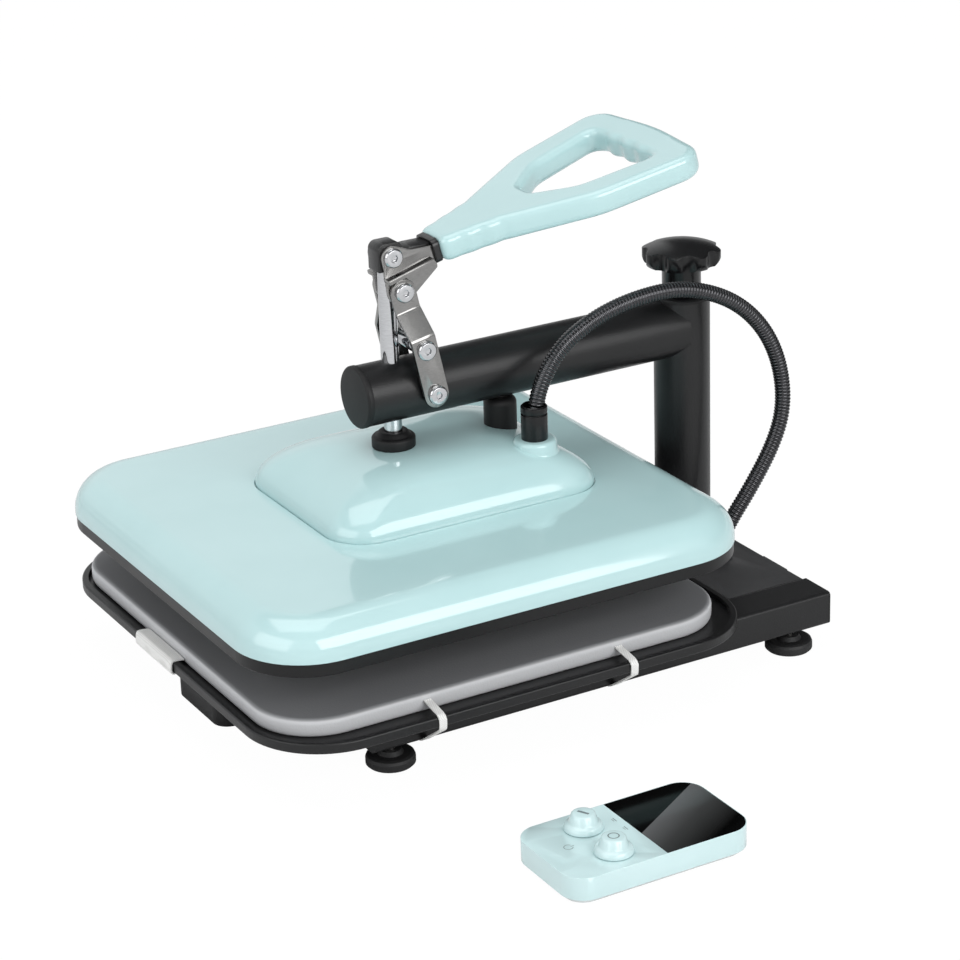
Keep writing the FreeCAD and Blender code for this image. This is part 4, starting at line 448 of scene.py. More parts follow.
def eased_node(node, name, look, width):
    """Copy of a node with its sharp edges eased, so that they catch the light as real ones do."""
    made = copied_node(node, name, look)
    edit_mesh(made.data, lambda mesh: bmesh.ops.dissolve_limit(
        mesh, angle_limit=FLAT_ANGLE, verts=mesh.verts, edges=mesh.edges))
    bevel = made.modifiers.new("Ease", "BEVEL")
    bevel.width = width
    bevel.segments = 2
    bevel.limit_method = "ANGLE"
    bevel.angle_limit = EDGE_ANGLE
    bevel.use_clamp_overlap = True
    apply_modifiers(made)
    smooth(made.data, 50.0)
    return made


def body_of_node(node):
    return next(b for b, names in frame["record"]["behaviour"]["bodies"].items() if node in names)


def stand_for(made, node):
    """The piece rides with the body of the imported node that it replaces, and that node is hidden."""
    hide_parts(node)
    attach(made, body_of_node(node))


def node_box(node):
    """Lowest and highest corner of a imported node."""
    low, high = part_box(node)
    return Vector(low), Vector(high)


def plan(low, high):
    """Half width, half depth and middle of a box, seen from above."""
    return (high.x - low.x) / 2, (high.y - low.y) / 2, (high.x + low.x) / 2, (high.y + low.y) / 2


def quarter(steps):
    """Cosine and sine at each step through a right angle."""
    turns = [math.pi / 2 * step / steps for step in range(steps + 1)]
    return [(math.cos(turn), math.sin(turn)) for turn in turns]


def sizes():
    return bpy.context.scene.press_sizes


def finish(name):
    return bpy.data.materials[name]


# ---- stage
CAMERA_PLACE = (1.8751, -0.9699, 1.0010)
CAMERA_TURN = 60.875    # degrees round from the front
CAMERA_FALL = 22.0
CAMERA_ROLL = -1.93
CAMERA_LENS = 110.19    # millimetres, on a 36 mm frame
LAMP_AIM = (0.0, 0.0, 0.1)
LAMPS = (               # place, width, height and watts
    ("side softbox", (3.0, 0.5, 1.5), 2.6, 1.8, 56.0),
    ("top softbox", (-0.2, -0.3, 3.2), 2.6, 2.6, 34.0),
    ("front softbox", (0.6, -3.2, 1.6), 3.4, 2.2, 36.0),
)
SKY_LIGHT = ((0.0, "#8E8E90"), (0.25, "#B4B5B7"), (1.0, "#EDEFF1"))
SKY_POWER = 0.62
SKY_SEEN = ((0.05, "#E8E8E8"), (0.12, "#C9C9CA"), (0.22, "#F4F5F6"), (0.62, "#E2E4E5"), (0.75, "#8A8C8E"),
            (1.0, "#A8AAAC"))
WALL_SEEN = ((0.05, "#DADADA"), (0.16, "#6E6F70"), (0.40, "#4C4D4E"), (1.0, "#8A8B8C"))
WALL_SIDE = (0.487, 0.874, 0.0)     # the studio's dim wall lies on this side
WALL_EDGE = -0.035
WALL_BLUR = 0.006
WALL_FACES = (0.874, -0.487, 0.0)   # it fades out toward this direction
WALL_FADE = (0.25, -0.05)
FLOOR_DROP = 0.4 * MM
FLOOR_GLOW = 1.02
FLOOR_GLOW_SHARE = 0.96     # the rest is the board with its shadow


def aim_camera(scene):
    turn, fall, roll = (math.radians(v) for v in (CAMERA_TURN, CAMERA_FALL, CAMERA_ROLL))
    back = Vector((math.sin(turn) * math.cos(fall), -math.cos(turn) * math.cos(fall), math.sin(fall)))
    right = Vector((math.cos(turn), math.sin(turn), 0))
    up = back.cross(right)
    across = right * math.cos(roll) + up * math.sin(roll)
    upward = up * math.cos(roll) - right * math.sin(roll)
    data = bpy.data.cameras.new("camera")
    data.sensor_width = 36.0
    data.lens = CAMERA_LENS
    data.clip_end = 60.0
    scene.camera = link("camera", data)
    turned_to = Matrix((across, upward, back)).transposed().to_4x4()
    scene.camera.matrix_world = Matrix.Translation(CAMERA_PLACE) @ turned_to


def soft_lamp(name, place, width, height, watts):
    data = bpy.data.lights.new(name, "AREA")
    data.shape = "RECTANGLE"
    data.size = width
    data.size_y = height
    data.energy = watts
    facing = (Vector(place) - Vector(LAMP_AIM)).to_track_quat("Z", "Y").to_matrix().to_4x4()
    link(name, data).matrix_world = Matrix.Translation(place) @ facing


def studio_world(world):
    """White behind the object, and even light. What it reflects is pale, but for a dim wall on one side and
    a greyer part overhead."""
    tree = blank_tree(world)

    def sky(colour, strength):
        return add(tree, "ShaderNodeBackground", {"Color": colour,
                                                  "Strength": strength}).outputs["Background"]

    path = add(tree, "ShaderNodeLightPath").outputs
    toward = add(tree, "ShaderNodeTexCoord").outputs["Generated"]
    height = upward_part(tree, toward)
    around = colour_steps(tree, spread(tree, height, 0.0, 1.0, -0.2, 0.9), *SKY_LIGHT)
    light = sky(around, SKY_POWER)
    ceiling = colour_steps(tree, height, *SKY_SEEN)
    wall = colour_steps(tree, height, *WALL_SEEN)
    aside = spread(tree, measured(tree, toward, WALL_SIDE), 0.0, 1.0, WALL_EDGE - WALL_BLUR,
                   WALL_EDGE + WALL_BLUR)
    behind = spread(tree, measured(tree, toward, WALL_FACES), 0.0, 1.0, *WALL_FADE)
    seen = add(tree, "ShaderNodeMix", {"Factor": combined(tree, "MULTIPLY", aside, behind), "A": ceiling,
                                       "B": wall}, data_type="RGBA").outputs["Result"]
    beside = mixed(tree, path["Is Glossy Ray"], light, sky(seen, 1.0))
    shown = mixed(tree, path["Is Camera Ray"], beside, sky(WHITE, 1.0))
    add(tree, "ShaderNodeOutputWorld", {"Surface": shown})


def floor_finish():
    """Matt white board that keeps a faint shadow under the object."""
    made = bpy.data.materials.new("White board")
    tree = blank_tree(made)
    seen = add(tree, "ShaderNodeLightPath").outputs["Is Camera Ray"]
    board = add(tree, "ShaderNodeBsdfDiffuse", {"Color": srgb("#EDEDED")})
    glow = add(tree, "ShaderNodeEmission", {"Color": WHITE, "Strength": FLOOR_GLOW})
    share = combined(tree, "MULTIPLY", seen, FLOOR_GLOW_SHARE)
    shown = mixed(tree, share, board.outputs["BSDF"], glow.outputs["Emission"])
    add(tree, "ShaderNodeOutputMaterial", {"Surface": shown})
    return made


class PRESS_OT_stage(bpy.types.Operator):
    """Camera, pale floor and soft studio light"""
    bl_idname = "press.stage"
    bl_label = "Stage"

    def execute(self, context):
        scene = context.scene
        aim_camera(scene)
        scene.view_settings.view_transform = "Standard"
        scene.world = scene.world or bpy.data.worlds.new("Studio")
        studio_world(scene.world)
        for lamp in LAMPS:
            soft_lamp(*lamp)
        reach = sizes().floor_reach
        mesh = bmesh.new()
        mesh.faces.new([mesh.verts.new((side_x * reach, side_y * reach, -FLOOR_DROP))
                        for side_x, side_y, _ in CORNERS])
        to_object(mesh, "floor", floor_finish())
        return {"FINISHED"}


# ---- finishes
def finish_table(colours):
    """Recipe, name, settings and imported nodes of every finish."""
    return (
        (powder_coat, "Black powder coat", (colours.black_coat, "#101011", 0.33),
         "left_side_beam right_side_beam cross_rails spine_channel platen_tray deck_floor spindle post_tube "
         "arm_tube rod_guide_tube lift_sleeve link_pivot_pin"),
        (powder_coat, "Deck powder coat", (colours.deck_coat, "#333334", 0.36), "rear_deck"),
        (matt_moulding, "Moulded black nylon", ("#161617", "#0F0F10"),
         "beam_end_caps power_inlet post_cap arm_cap rod_collar guide_sleeve base_gland"),
        (glossy_moulding, "Gloss black nylon", ("#0C0C0D", "#08080A", 0.24, 0.0, 1.42),
         "pressure_knob conduit_gland"),
        (glossy_moulding, "Satin black nylon", ("#0E0E0F", "#09090A", 0.32, 0.0, 1.4), "rim_frame"),
        (moulded_rubber, "Black rubber", ("#121213", "#1C1C1D"), "rubber_feet pad_feet conduit"),
        (glossy_moulding, "Polished mint ABS", (colours.mint, "#B7D8D9", 0.1),
         "heat_cover dome_housing handle_grip"),
        (glossy_moulding, "Pale mint ABS", (colours.pale_mint, "#C6E0E1", 0.16),
         "pad_top_shell left_dial right_dial"),
        (glossy_moulding, "White ABS", ("#F2F7F7", "#E6EFEF", 0.22), "pad_bottom_shell"),
        # the silicone's second colour is painted shade on the pad's upward faces
        (silicone_foam, "Silicone foam", (colours.silicone, "#808183"), "silicone_pad"),
        (woven_webbing, "White woven tape", (colours.webbing, "#DEDEDB"), "elastic_straps fabric_tag"),
        (felted_fibre, "Needled ceramic felt", ("#E4DECB", "#BDB59C"), "insulation_mat"),
        (plated_steel, "Nickel-plated steel", ("#A09F9D", "#7C7B7A", 0.14),
         "left_link right_link bracket_plates backing_plate foot_studs guide_pin"),
        (plated_steel, "Chromed steel", ("#D6D7D9", "#B5B6B8", 0.08),
         "press_rod link_bolts bracket_pin link_spacer lift_screw"),
        (painted_casting, "Black enamelled iron", ("#161617", "#0E0E0F"),
         "rod_head handle_shank handle_ferrule power_transformer"),
        (turned_brass, "Turned brass", ("#C6A158", "#8E6B30"), "lift_nut post_bushes"),
        (coated_aluminium, "Coated aluminium", ("#7D7E80", "#5E5F61"), "heating_plate"),
        (plated_steel, "Heat-tinted steel", ("#A39B8C", "#77705F", 0.35), "heating_element thermal_cutout"),
        (solder_mask, "Green solder mask", ("#256B3E", "#1E5B34", "#3F8A57"), "power_board pad_board"),
        (dark_glass, "Black display window", (), "display_glass"),
        (plated_steel, "Black hose steel", ("#626264", "#2E2E30", 0.17), ""),
        (matt_moulding, "Grey printing ink", ("#7C8B8C", "#6B797A", 0.6), ""),
    )


class PRESS_OT_finishes(bpy.types.Operator):
    """Every material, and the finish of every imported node"""
    bl_idname = "press.finishes"
    bl_label = "Finishes"

    def execute(self, context):
        for recipe, name, settings, nodes in finish_table(context.scene.press_colours):
            new_finish(name, recipe, settings)
            for node in nodes.split():
                for slot in frame["nodes"][node].material_slots:
                    slot.material = finish(name)
        return {"FINISHED"}


# ---- heated platen
COVER_WALL = 3 * MM
COVER_FOOT = 0.4 * MM       # easing of the cover's lower edge
SHOULDER_STEPS = 16
GROOVE_STEPS = 10
GROOVE_HALF_WIDTH = 0.7 * MM
GROOVE_DEPTH = 2.2 * MM
GROOVE_ROUND = 0.4 * MM
DOME_LEDGE = 8 * MM         # how far the cover reaches under the housing
DOME_CORNER = 34 * MM
DOME_CORNER_DRAW = 0.35     # how much smaller the housing's corners are at its top
DOME_HEIGHT = 36 * MM
DOME_SINK = 1.2 * MM        # how far the housing's foot stands in the groove
DOME_STEPS = 26
BOSS_PLACE = (50 * MM, 96.5 * MM)
BOSS_STEPS = 56
BOSS_PROFILE = ((23.5, 162.0), (20.6, 166.0), (18.6, 169.5), (17.5, 173.0), (17.05, 176.0), (16.9, 178.2),
                (16.3, 179.7), (15.2, 180.5), (13.8, 180.7), (0.0, 180.7))      # radius and height


class PRESS_OT_cover(bpy.types.Operator):
    """Moulded cover with wide shoulders, and the groove in which the housing sits"""
    bl_idname = "press.cover"
    bl_label = "Cover"

    def execute(self, context):
        size = sizes()
        low, high = node_box("heat_cover")
        middle = plan(low, high)[3]
        dome_x, dome_y, _, dome_middle = plan(*node_box("dome_housing"))
        shoulder = size.cover_shoulder

        def side(inset, z):
            return rounded_loop(size.cover_half_x - inset, size.cover_half_y - inset, middle,
                                size.cover_corner - inset, z)

        def ring(out, z):
            return rounded_loop(dome_x + out, dome_y + out, dome_middle, DOME_CORNER + out, z)

        def rounded(inset, radius):
            return [side(inset + radius * (1 - c), high.z - inset - radius * (1 - s))
                    for c, s in quarter(SHOULDER_STEPS)]

        loops = [side(0.0, low.z + COVER_FOOT)] + rounded(0.0, shoulder)
        edge, groove = loops[-1], ring(GROOVE_HALF_WIDTH + GROOVE_ROUND, high.z)
        for step in range(1, GROOVE_STEPS + 1):
            share = step / GROOVE_STEPS
            rise = size.cover_crown * share * share * (3 - 2 * share)
            loops.append([a.lerp(b, share) + Vector((0, 0, rise)) for a, b in zip(edge, groove)])
        top = high.z + size.cover_crown
        loops += [ring(GROOVE_HALF_WIDTH, top - GROOVE_ROUND), ring(GROOVE_HALF_WIDTH, top - GROOVE_DEPTH),
                  ring(-DOME_LEDGE, top - GROOVE_DEPTH), ring(-DOME_LEDGE, high.z - COVER_WALL)]
        loops += reversed(rounded(COVER_WALL, shoulder - COVER_WALL))
        loops += [side(COVER_WALL, low.z), side(COVER_FOOT, low.z), loops[0]]
        mesh = bmesh.new()
        skin(mesh, loops)
        stand_for(to_object(mesh, "cover", finish("Polished mint ABS")), "heat_cover")
        return {"FINISHED"}


def turned(mesh, profile, centre, steps):
    """Surface of revolution about an upright axis, from (radius, z) points; the last is on the axis."""
    turns = [2 * math.pi * step / steps for step in range(steps)]
    skin(mesh, [[Vector((centre[0] + max(radius, WELD / 2) * math.cos(turn),
                         centre[1] + max(radius, WELD / 2) * math.sin(turn), z)) for turn in turns]
                for radius, z in profile], False, True)


class PRESS_OT_housing(bpy.types.Operator):
    """Pillow-shaped housing over the rod's mount, with its boss for the conduit"""
    bl_idname = "press.housing"
    bl_label = "Housing"

    def execute(self, context):
        size = sizes()
        low, high = node_box("dome_housing")
        half_x, half_y, _, middle = plan(low, high)
        loops = [rounded_loop(half_x, half_y, middle, DOME_CORNER, low.z - DOME_SINK)]
        for c, s in quarter(DOME_STEPS):
            loops.append(rounded_loop(half_x - size.dome_side * (1 - c), half_y - size.dome_end * (1 - c),
                                      middle, DOME_CORNER * (1 - DOME_CORNER_DRAW * s),
                                      low.z + DOME_HEIGHT * s))
        crown = loops[-1]
        centre = Vector((0, middle, low.z + DOME_HEIGHT))
        for share in (0.35, 0.7):
            loops.append([p.lerp(centre, share) for p in crown])
        mesh = bmesh.new()
        skin(mesh, loops, False, True)
        turned(mesh, [(radius * MM, z * MM) for radius, z in BOSS_PROFILE], BOSS_PLACE, BOSS_STEPS)
        stand_for(to_object(mesh, "housing", finish("Polished mint ABS"), 34.0), "dome_housing")
        return {"FINISHED"}


# ---- handle and linkage
GRIP_START = Vector((0.0, 40.4 * MM, 332.6 * MM))
GRIP_TILT = math.radians(14.3)
GRIP_VOXEL = 1 * MM
GRIP_SOFTENING = 36         # rounds of smoothing
FINGER_PITCH = 21 * MM
BAR_INNER, BAR_INNER_REACH, BAR_INNER_HALF = 181 * MM, 12 * MM, 46 * MM     # stations along the grip
BAR_UNDER, BAR_UNDER_REACH, BAR_UNDER_HALF = 196 * MM, 17 * MM, 52 * MM
BAR_DEPTH = 10 * MM
NECK, NECK_REACH, NECK_HALF = 31 * MM, 27 * MM, 14 * MM
RIDGE_START, RIDGE_PITCH = 6 * MM, 16.5 * MM
INNER_SHARE, UNDER_SHARE, RIDGE_SHARE = 1.3, 0.8, 0.55      # depths against the grip's wave


def within(distance, reach, power=1):
    """1 at no distance, falling to 0 at the reach."""
    return max(0.0, 1 - (abs(distance) / reach) ** power)


def wave(distance, pitch):
    """0 to 1 and back in one pitch."""
    return 0.5 - 0.5 * math.cos(2 * math.pi * distance / pitch)


class PRESS_OT_grip(bpy.types.Operator):
    """Glossy loop grip with finger hollows in its bar and along its neck"""
    bl_idname = "press.grip"
    bl_label = "Grip"

    def execute(self, context):
        depth = sizes().grip_wave
        look = finish("Polished mint ABS")
        made = copied_node("handle_grip", "grip", look)
        voxels = made.modifiers.new("Even skin", "REMESH")
        voxels.mode = "VOXEL"
        voxels.voxel_size = GRIP_VOXEL
        soften = made.modifiers.new("Soften", "SMOOTH")
        soften.factor = 0.5
        soften.iterations = GRIP_SOFTENING
        apply_modifiers(made)
        along = Vector((0, math.cos(GRIP_TILT), math.sin(GRIP_TILT)))
        normal = Vector((0, -math.sin(GRIP_TILT), math.cos(GRIP_TILT)))
        for vertex in made.data.vertices:
            offset = vertex.co - GRIP_START
            s, across, lift = offset.dot(along), offset.x, offset.dot(normal)
            hollow = wave(across, FINGER_PITCH)
            inner = within(s - BAR_INNER, BAR_INNER_REACH) * within(across, BAR_INNER_HALF, 4)
            vertex.co += along * (depth * INNER_SHARE * inner * hollow)
            under = max(0.0, -lift / BAR_DEPTH) * within(s - BAR_UNDER, BAR_UNDER_REACH)
            under *= within(across, BAR_UNDER_HALF, 4)
            vertex.co += normal * (depth * UNDER_SHARE * under * hollow)
            ridge = within(s - NECK, NECK_REACH, 4) * wave(s - RIDGE_START, RIDGE_PITCH)
            sideways = math.copysign(min(1.0, abs(across) / NECK_HALF), across)
            vertex.co.x -= depth * RIDGE_SHARE * ridge * sideways
        smooth(made.data, 60.0)
        made.data.materials.clear()
        made.data.materials.append(look)
        stand_for(made, "handle_grip")
        return {"FINISHED"}


EASED = (   # node, look and width of the easing in millimetres
    ("left_link", "Nickel-plated steel", 0.5), ("right_link", "Nickel-plated steel", 0.5),
    ("bracket_plates", "Nickel-plated steel", 0.45), ("link_bolts", "Chromed steel", 0.2),
    ("bracket_pin", "Chromed steel", 0.2), ("link_spacer", "Chromed steel", 0.2),
    ("rod_head", "Black enamelled iron", 0.8), ("handle_shank", "Black enamelled iron", 0.8),
    ("handle_ferrule", "Black enamelled iron", 0.5), ("arm_cap", "Moulded black nylon", 0.5),
    ("rod_collar", "Moulded black nylon", 0.5), ("conduit_gland", "Gloss black nylon", 0.3),
    ("rear_deck", "Deck powder coat", 0.6), ("pressure_knob", "Gloss black nylon", 0.6),
    ("pad_top_shell", "Pale mint ABS", 0.9), ("left_dial", "Pale mint ABS", 0.5),
    ("right_dial", "Pale mint ABS", 0.5),
)


class PRESS_OT_eased_parts(bpy.types.Operator):
    """Linkage, knob, caps and control pad, with their edges eased"""
    bl_idname = "press.eased_parts"
    bl_label = "Eased parts"

    def execute(self, context):
        for node, look, width in EASED:
            stand_for(eased_node(node, "eased_" + node, finish(look), width * MM), node)
        return {"FINISHED"}


# ---- lower platen
PAD_CORNER = 51 * MM
PAD_FOOT = ((60.0, 0.0), (2.2, 0.0), (1.0, 0.5), (0.25, 2.0), (0.0, 4.5))   # inset and height, millimetres
PAD_EDGE_STEPS = 8
PAD_TOP_INSETS = (7, 12, 20, 32, 48)    # millimetres
PAD_DENTS = 0.35 * MM
PAD_DENTS_PER_METRE = 14.0


class PRESS_OT_work_pad(bpy.types.Operator):
    """Foamed silicone pad with rounded edges and a face that isn't quite flat"""
    bl_idname = "press.work_pad"
    bl_label = "Work pad"

    def execute(self, context):
        low, high = node_box("silicone_pad")
        half_x, half_y, middle_x, middle_y = plan(low, high)
        edge = sizes().pad_edge

        def ring(inset, z):
            return rounded_loop(half_x - inset, half_y - inset, middle_y, max(PAD_CORNER - inset, 2 * MM), z,
                                middle_x)

        loops = [ring(inset * MM, low.z + rise * MM) for inset, rise in PAD_FOOT]
        loops += [ring(edge * (1 - c), high.z - edge * (1 - s)) for c, s in quarter(PAD_EDGE_STEPS)]
        loops += [ring(inset * MM, high.z) for inset in PAD_TOP_INSETS]
        mesh = bmesh.new()
        skin(mesh, loops, True, True)
        for vertex in mesh.verts:
            if vertex.co.z > high.z - 1 * MM:
                vertex.co.z -= PAD_DENTS * (0.5 + 0.5 * noise.noise(vertex.co * PAD_DENTS_PER_METRE))
        made = to_object(mesh, "work_pad", finish("Silicone foam"), 50.0)
        stand_for(made, "silicone_pad")
        return {"FINISHED"}


CLOTH_THICK = 1.1 * MM
BEND_SHARE = 0.45           # the most of a stretch that the bend at its end takes
STRAP_PLACES = (-79 * MM, 84 * MM)
STRAP_WIDTH = 6 * MM
STRAP_BEND = 4 * MM
STRAP_WAVER, WAVER_TURN = 0.1 * MM, 0.9     # sideways, and its turn from point to point in radians
TAG_MIDDLE = -14 * MM
TAG_WIDTH = 65.5 * MM
TAG_BEND = 2.2 * MM
TAG_STEPS = 44
TAG_CREASE = 0.4 * MM
CREASES_ACROSS, CREASES_DOWN, CREASE_SEED = 70, 130, 3.0    # the first two to the metre
TAG_PUFF = 0.35 * MM


def ribbon(mesh, path, across, width, steps_across, waver=0.0):
    """Flat band of cloth along a path of points; across is the direction of its width."""
    rows = []
    for i, point in enumerate(path):
        before, after = path[max(i - 1, 0)], path[min(i + 1, len(path) - 1)]
        half = (after - before).normalized().cross(across).normalized() * CLOTH_THICK / 2
        drift = waver * math.sin(i * WAVER_TURN)
        row = [point + across * (width * (k / steps_across - 0.5) + drift) for k in range(steps_across + 1)]
        rows.append([p + half for p in row] + [p - half for p in reversed(row)])
    skin(mesh, rows, True, True)


def smooth_path(corners, radius, per_corner):
    """Points along a run of corners, each one rounded."""
    points = [corners[0]]
    for before, here, after in zip(corners, corners[1:], corners[2:]):
        reach = min(radius, (before - here).length * BEND_SHARE, (after - here).length * BEND_SHARE)
        start = here + (before - here).normalized() * reach
        stop = here + (after - here).normalized() * reach
        for k in range(per_corner + 1):
            t = k / per_corner
            points.append(start * (1 - t) ** 2 + here * (2 * t * (1 - t)) + stop * t ** 2)
    points.append(corners[-1])
    return points


def strap_corners(side, y, pad_edge, foot):
    """Corners of a strap from the pad's foot over the rim to the beam, a little skewed by its stretch."""
    low, high = node_box("platen_tray")
    beam_low, beam_high = node_box("right_side_beam")
    rim = high.x
    profile = ((pad_edge, 0.4, 0.0, foot, 9.0), (pad_edge, 1.8, 0.3, foot, 8.0),
               (rim, -1.0, -0.3, high.z, 1.2), (rim, 1.2, 0.0, high.z, -1.2), (rim, 0.9, 0.3, low.z, -1.5),
               (beam_high.x, 1.3, 4.5, beam_low.z, 1.5), (beam_high.x, -4.0, 5.0, beam_low.z, -0.9))
    return [Vector((side * (out + more * MM), y + drift * MM, z + rise * MM))
            for out, more, drift, z, rise in profile]


def tag_corners(low, high, pad_edge, foot):
    """Corners of the cloth tag, folded over the tray's front rim."""
    rim = -low.y
    profile = ((pad_edge, 1.1, foot, 4.6), (rim, -6.0, high.z, 0.9), (rim, 0.0, high.z, 1.2),
               (rim, 1.3, high.z, -1.5), (rim, 1.5, low.z, 2.0), (rim, 0.8, low.z, -1.0),
               (rim, -8.5, low.z, -0.9))
    return [Vector((TAG_MIDDLE, -(out + more * MM), z + rise * MM)) for out, more, z, rise in profile]


class PRESS_OT_straps(bpy.types.Operator):
    """Elastic bands from the pad's foot over the side rims to the beams, and the plain cloth tag on the
    front rim"""
    bl_idname = "press.straps"
    bl_label = "Straps and tag"

    def execute(self, context):
        low, high = node_box("platen_tray")
        pad_low, pad_high = node_box("silicone_pad")
        look = finish("White woven tape")
        bands = bmesh.new()
        for side, pad_edge in ((-1, -pad_low.x), (1, pad_high.x)):
            for y in STRAP_PLACES:
                path = smooth_path(strap_corners(side, y, pad_edge, pad_low.z), STRAP_BEND, 7)
                ribbon(bands, path, Vector((0, 1, 0)), STRAP_WIDTH, 4, STRAP_WAVER)
        stand_for(to_object(bands, "straps", look, 50.0), "elastic_straps")
        tag = bmesh.new()
        path = smooth_path(tag_corners(low, high, -pad_low.y, pad_low.z), TAG_BEND, 6)
        path = [a.lerp(b, t) for a, b in zip(path, path[1:]) for t in (0.0, 0.5)] + [path[-1]]
        ribbon(tag, path, Vector((1, 0, 0)), TAG_WIDTH, TAG_STEPS)
        for vertex in tag.verts:
            puff = TAG_CREASE * noise.noise(Vector((vertex.co.x * CREASES_ACROSS,
                                                    vertex.co.z * CREASES_DOWN, CREASE_SEED)))
            puff += TAG_PUFF * within(vertex.co.x - TAG_MIDDLE, TAG_WIDTH / 2, 6)
            if vertex.co.z > high.z + 0.5 * MM:
                vertex.co.z += puff
            elif vertex.co.y < low.y:
                vertex.co.y -= puff
        stand_for(to_object(tag, "tag", look, 60.0), "fabric_tag")
        return {"FINISHED"}


# ---- conduit
CONDUIT_ROUTE = (
    (50, 96.5, 186.7), (50, 97.7, 206.7), (50, 104.1, 225.6), (50, 115.1, 242.3), (50, 130.9, 256.2),
    (50.5, 157.8, 269.4), (51.5, 191, 276.8), (52.7, 227, 277.9), (54, 262, 267.5), (55, 290, 249.5),
    (56, 311, 224), (57, 323, 193), (59, 324.5, 160), (60.5, 314, 132), (61, 292, 99.5),
    (60.3, 266.6, 67.2), (60, 258.6, 46.9), (60, 257.4, 39.5),
)
CONDUIT_RADIUS = 6.5 * MM
CREST_Y = 218.5 * MM        # where the upper stretch ends
FALL_Z = 187 * MM           # where the middle stretch ends
LANDING_Z = 69 * MM         # where the lower stretch ends
WIRE_SHARE = 0.49           # radius of a turn's wire against the pitch
TURN_STEPS, WIRE_STEPS, CORE_STEPS = 28, 8, 24


def curve_object(name, kind, points):
    """Open curve of one spline."""
    data = bpy.data.curves.new(name, "CURVE")
    data.dimensions = "3D"
    spline = data.splines.new(kind)
    spline.points.add(len(points) - 1)
    for knot, point in zip(spline.points, points):
        knot.co = (*point, 1.0)
    return link(name, data)


def route_points():
    """Closely spaced points along the middle of the conduit."""
    route = curve_object("conduit_route", "NURBS", [Vector(p) * MM for p in CONDUIT_ROUTE])
    route.data.resolution_u = 16
    route.data.splines[0].order_u = 3
    route.data.splines[0].use_endpoint_u = True
    line = evaluated_mesh(route)
    points = [vertex.co.copy() for vertex in line.vertices]
    bpy.data.meshes.remove(line)
    bpy.data.objects.remove(route)
    return points


def ribbed_hose_tree(look):
    """Interlocked steel hose: round turns threaded on a core, all along the curve that it is given."""
    tree = bpy.data.node_groups.new("Ribbed hose", "GeometryNodeTree")
    face = tree.interface
    face.new_socket("Geometry", in_out="INPUT", socket_type="NodeSocketGeometry")
    for label, value in (("Radius", CONDUIT_RADIUS), ("Pitch", sizes().conduit_pitch),
                         ("Groove", sizes().conduit_groove)):
        face.new_socket(label, in_out="INPUT", socket_type="NodeSocketFloat").default_value = value
    face.new_socket("Geometry", in_out="OUTPUT", socket_type="NodeSocketGeometry")

    def circle(steps, radius):
        return add(tree, "GeometryNodeCurvePrimitiveCircle", {"Resolution": steps,
                                                              "Radius": radius}).outputs["Curve"]

    given = add(tree, "NodeGroupInput").outputs
    turns = add(tree, "GeometryNodeCurveToPoints", {"Curve": given["Geometry"], "Length": given["Pitch"]},
                mode="LENGTH").outputs
    wire_radius = combined(tree, "MULTIPLY", given["Pitch"], WIRE_SHARE)
    turn_radius = combined(tree, "SUBTRACT", given["Radius"], wire_radius)
    turn = add(tree, "GeometryNodeCurveToMesh", {"Curve": circle(TURN_STEPS, turn_radius),
                                                 "Profile Curve": circle(WIRE_STEPS, wire_radius)})
    rings = add(tree, "GeometryNodeInstanceOnPoints", {
        "Points": turns["Points"], "Instance": turn.outputs["Mesh"], "Rotation": turns["Rotation"]})
    core_radius = combined(tree, "SUBTRACT", given["Radius"], given["Groove"])
    core = add(tree, "GeometryNodeCurveToMesh", {
        "Curve": given["Geometry"], "Profile Curve": circle(CORE_STEPS, core_radius), "Fill Caps": True})
    both = add(tree, "GeometryNodeJoinGeometry")
    tree.links.new(rings.outputs["Instances"], both.inputs["Geometry"])
    tree.links.new(core.outputs["Mesh"], both.inputs["Geometry"])
    real = add(tree, "GeometryNodeRealizeInstances", {"Geometry": both.outputs["Geometry"]})
    coated = add(tree, "GeometryNodeSetMaterial", {"Geometry": real.outputs["Geometry"], "Material": look})
    add(tree, "NodeGroupOutput", {"Geometry": coated.outputs["Geometry"]})
    return tree


def hose_along(name, points, tree, look):
    """Ribbed hose along a run of points, as a plain mesh."""
    guide = curve_object(name, "POLY", points)
    guide.modifiers.new("Hose", "NODES").node_group = tree
    data = evaluated_mesh(guide)
    bpy.data.objects.remove(guide)
    return place(data, name, look, 60.0)


class PRESS_OT_conduit(bpy.types.Operator):
    """Flexible conduit in four stretches: out of its gland, up behind the post, over the arm and down to
    the platen"""
    bl_idname = "press.conduit"
    bl_label = "Conduit"

    def execute(self, context):
        look = finish("Black hose steel")
        tree = ribbed_hose_tree(look)
        points = route_points()
        crest = next(i for i, p in enumerate(points) if p.y > CREST_Y)
        fall = next(i for i, p in enumerate(points) if i > crest and p.z < FALL_Z)
        landing = next(i for i, p in enumerate(points) if i > fall and p.z < LANDING_Z)
        upper = hose_along("conduit_upper", points[:crest + 1], tree, look)
        middle = hose_along("conduit_middle", points[crest:fall + 1], tree, look)
        lower = hose_along("conduit_lower", points[fall:landing + 1], tree, look)
        foot = hose_along("conduit_foot", points[landing:], tree, look)
        for made in (upper, middle, lower, foot):
            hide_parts("conduit")
        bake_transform(foot)
        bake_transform(lower)
        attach(middle, "arm")
        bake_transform(upper)
        return {"FINISHED"}


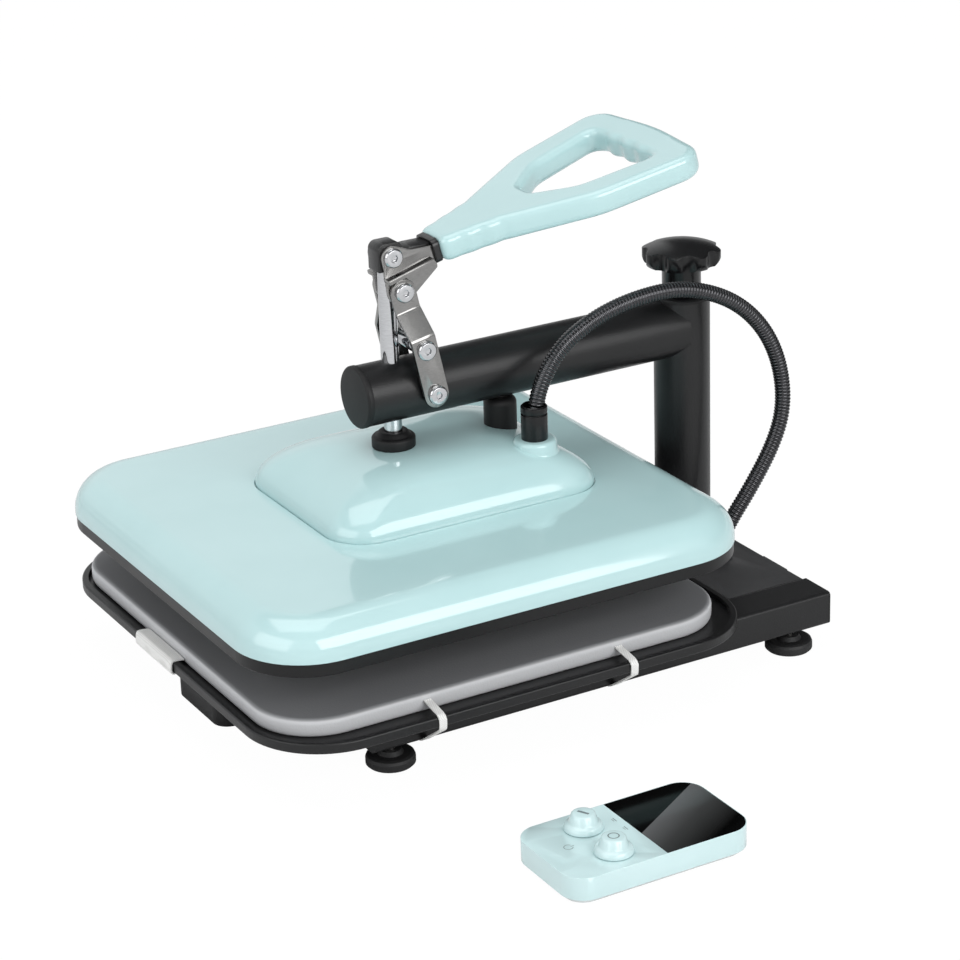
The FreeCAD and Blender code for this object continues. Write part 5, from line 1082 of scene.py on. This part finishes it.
# ---- control pad
PRINT_RISE = 0.06 * MM
POWER_RING = ((368.5 * MM, -71.5 * MM), 3.4 * MM, 2.9 * MM)     # middle, outer and inner radius
POWER_RING_OPENS = (120, 420)
PAD_BARS = ((368.5, -68.4, 0.6, 2.6), (353.0, -24.6, 5.2, 0.7), (353.0, -26.2, 3.4, 0.5),
            (367.0, -24.3, 5.2, 0.7), (367.0, -25.9, 3.4, 0.5))    # middle and lengths, millimetres
LEFT_DIAL_BAR = (9.0 * MM, 2.2 * MM)
LEFT_DIAL_TURN = 28
RIGHT_DIAL_RING = (4.2 * MM, 3.3 * MM)
ARC_STEPS = 40


def flat_ring(mesh, centre, outer, inner, z, start=0.0, stop=360.0):
    """Printed ring or part of one, a hair above the surface."""
    rows = []
    for k in range(ARC_STEPS + 1):
        angle = math.radians(start + (stop - start) * k / ARC_STEPS)
        spoke = Vector((math.cos(angle), math.sin(angle), 0))
        rows.append([mesh.verts.new(Vector((*centre, z)) + spoke * r) for r in (inner, outer)])
    for low, high in zip(rows, rows[1:]):
        mesh.faces.new((low[0], low[1], high[1], high[0]))


def flat_bar(mesh, centre, length_x, length_y, z, turn=0.0):
    """Printed bar, turned by some degrees."""
    spin = Matrix.Rotation(math.radians(turn), 3, "Z")
    mesh.faces.new([mesh.verts.new(spin @ Vector((side_x * length_x / 2, side_y * length_y / 2, 0))
                                   + Vector((*centre, z))) for side_x, side_y, _ in CORNERS])


class PRESS_OT_control_marks(bpy.types.Operator):
    """Printed power ring and key marks on the control pad, and the marks on its dials"""
    bl_idname = "press.control_marks"
    bl_label = "Control pad marks"

    def execute(self, context):
        ink = finish("Grey printing ink")
        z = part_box("pad_top_shell")[1][2] + PRINT_RISE
        face = bmesh.new()
        flat_ring(face, *POWER_RING, z, *POWER_RING_OPENS)
        for x, y, length_x, length_y in PAD_BARS:
            flat_bar(face, (x * MM, y * MM), length_x * MM, length_y * MM, z)
        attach(to_object(face, "pad_marks", ink), "control_pad")
        for node, body in (("left_dial", "dial_left"), ("right_dial", "dial_right")):
            low, high = node_box(node)
            centre = plan(low, high)[2:]
            mark = bmesh.new()
            if node == "left_dial":
                flat_bar(mark, centre, *LEFT_DIAL_BAR, high.z + PRINT_RISE, LEFT_DIAL_TURN)
            else:
                flat_ring(mark, centre, *RIGHT_DIAL_RING, high.z + PRINT_RISE)
            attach(to_object(mark, node + "_mark", ink), body)
        return {"FINISHED"}


# ---- panel and registration
STEPS = (PRESS_OT_stage, PRESS_OT_finishes, PRESS_OT_conduit, PRESS_OT_cover, PRESS_OT_housing,
         PRESS_OT_grip, PRESS_OT_eased_parts, PRESS_OT_work_pad, PRESS_OT_straps, PRESS_OT_control_marks)


class PRESS_PT_sidebar(bpy.types.Panel):
    """Sizes, colours and building steps of the heat press"""
    bl_idname = "PRESS_PT_sidebar"
    bl_label = "Bench heat press"
    bl_space_type = "VIEW_3D"
    bl_region_type = "UI"
    bl_category = "Heat press"

    def draw(self, context):
        for group in (context.scene.press_sizes, context.scene.press_colours):
            box = self.layout.box()
            for key in group.bl_rna.properties.keys():
                if key not in ("rna_type", "name"):
                    box.prop(group, key)
        for step in STEPS:
            self.layout.operator(step.bl_idname)


CLASSES = (PressSizes, PressColours, *STEPS, PRESS_PT_sidebar)


def register():
    for cls in CLASSES:
        bpy.utils.register_class(cls)
    bpy.types.Scene.press_sizes = bpy.props.PointerProperty(type=PressSizes)
    bpy.types.Scene.press_colours = bpy.props.PointerProperty(type=PressColours)


def unregister():
    del bpy.types.Scene.press_colours
    del bpy.types.Scene.press_sizes
    for cls in reversed(CLASSES):
        bpy.utils.unregister_class(cls)


def main():
    register()
    for step in STEPS:
        group, name = step.bl_idname.split(".")
        getattr(getattr(bpy.ops, group), name)()


if __name__ == "__main__":
    main()
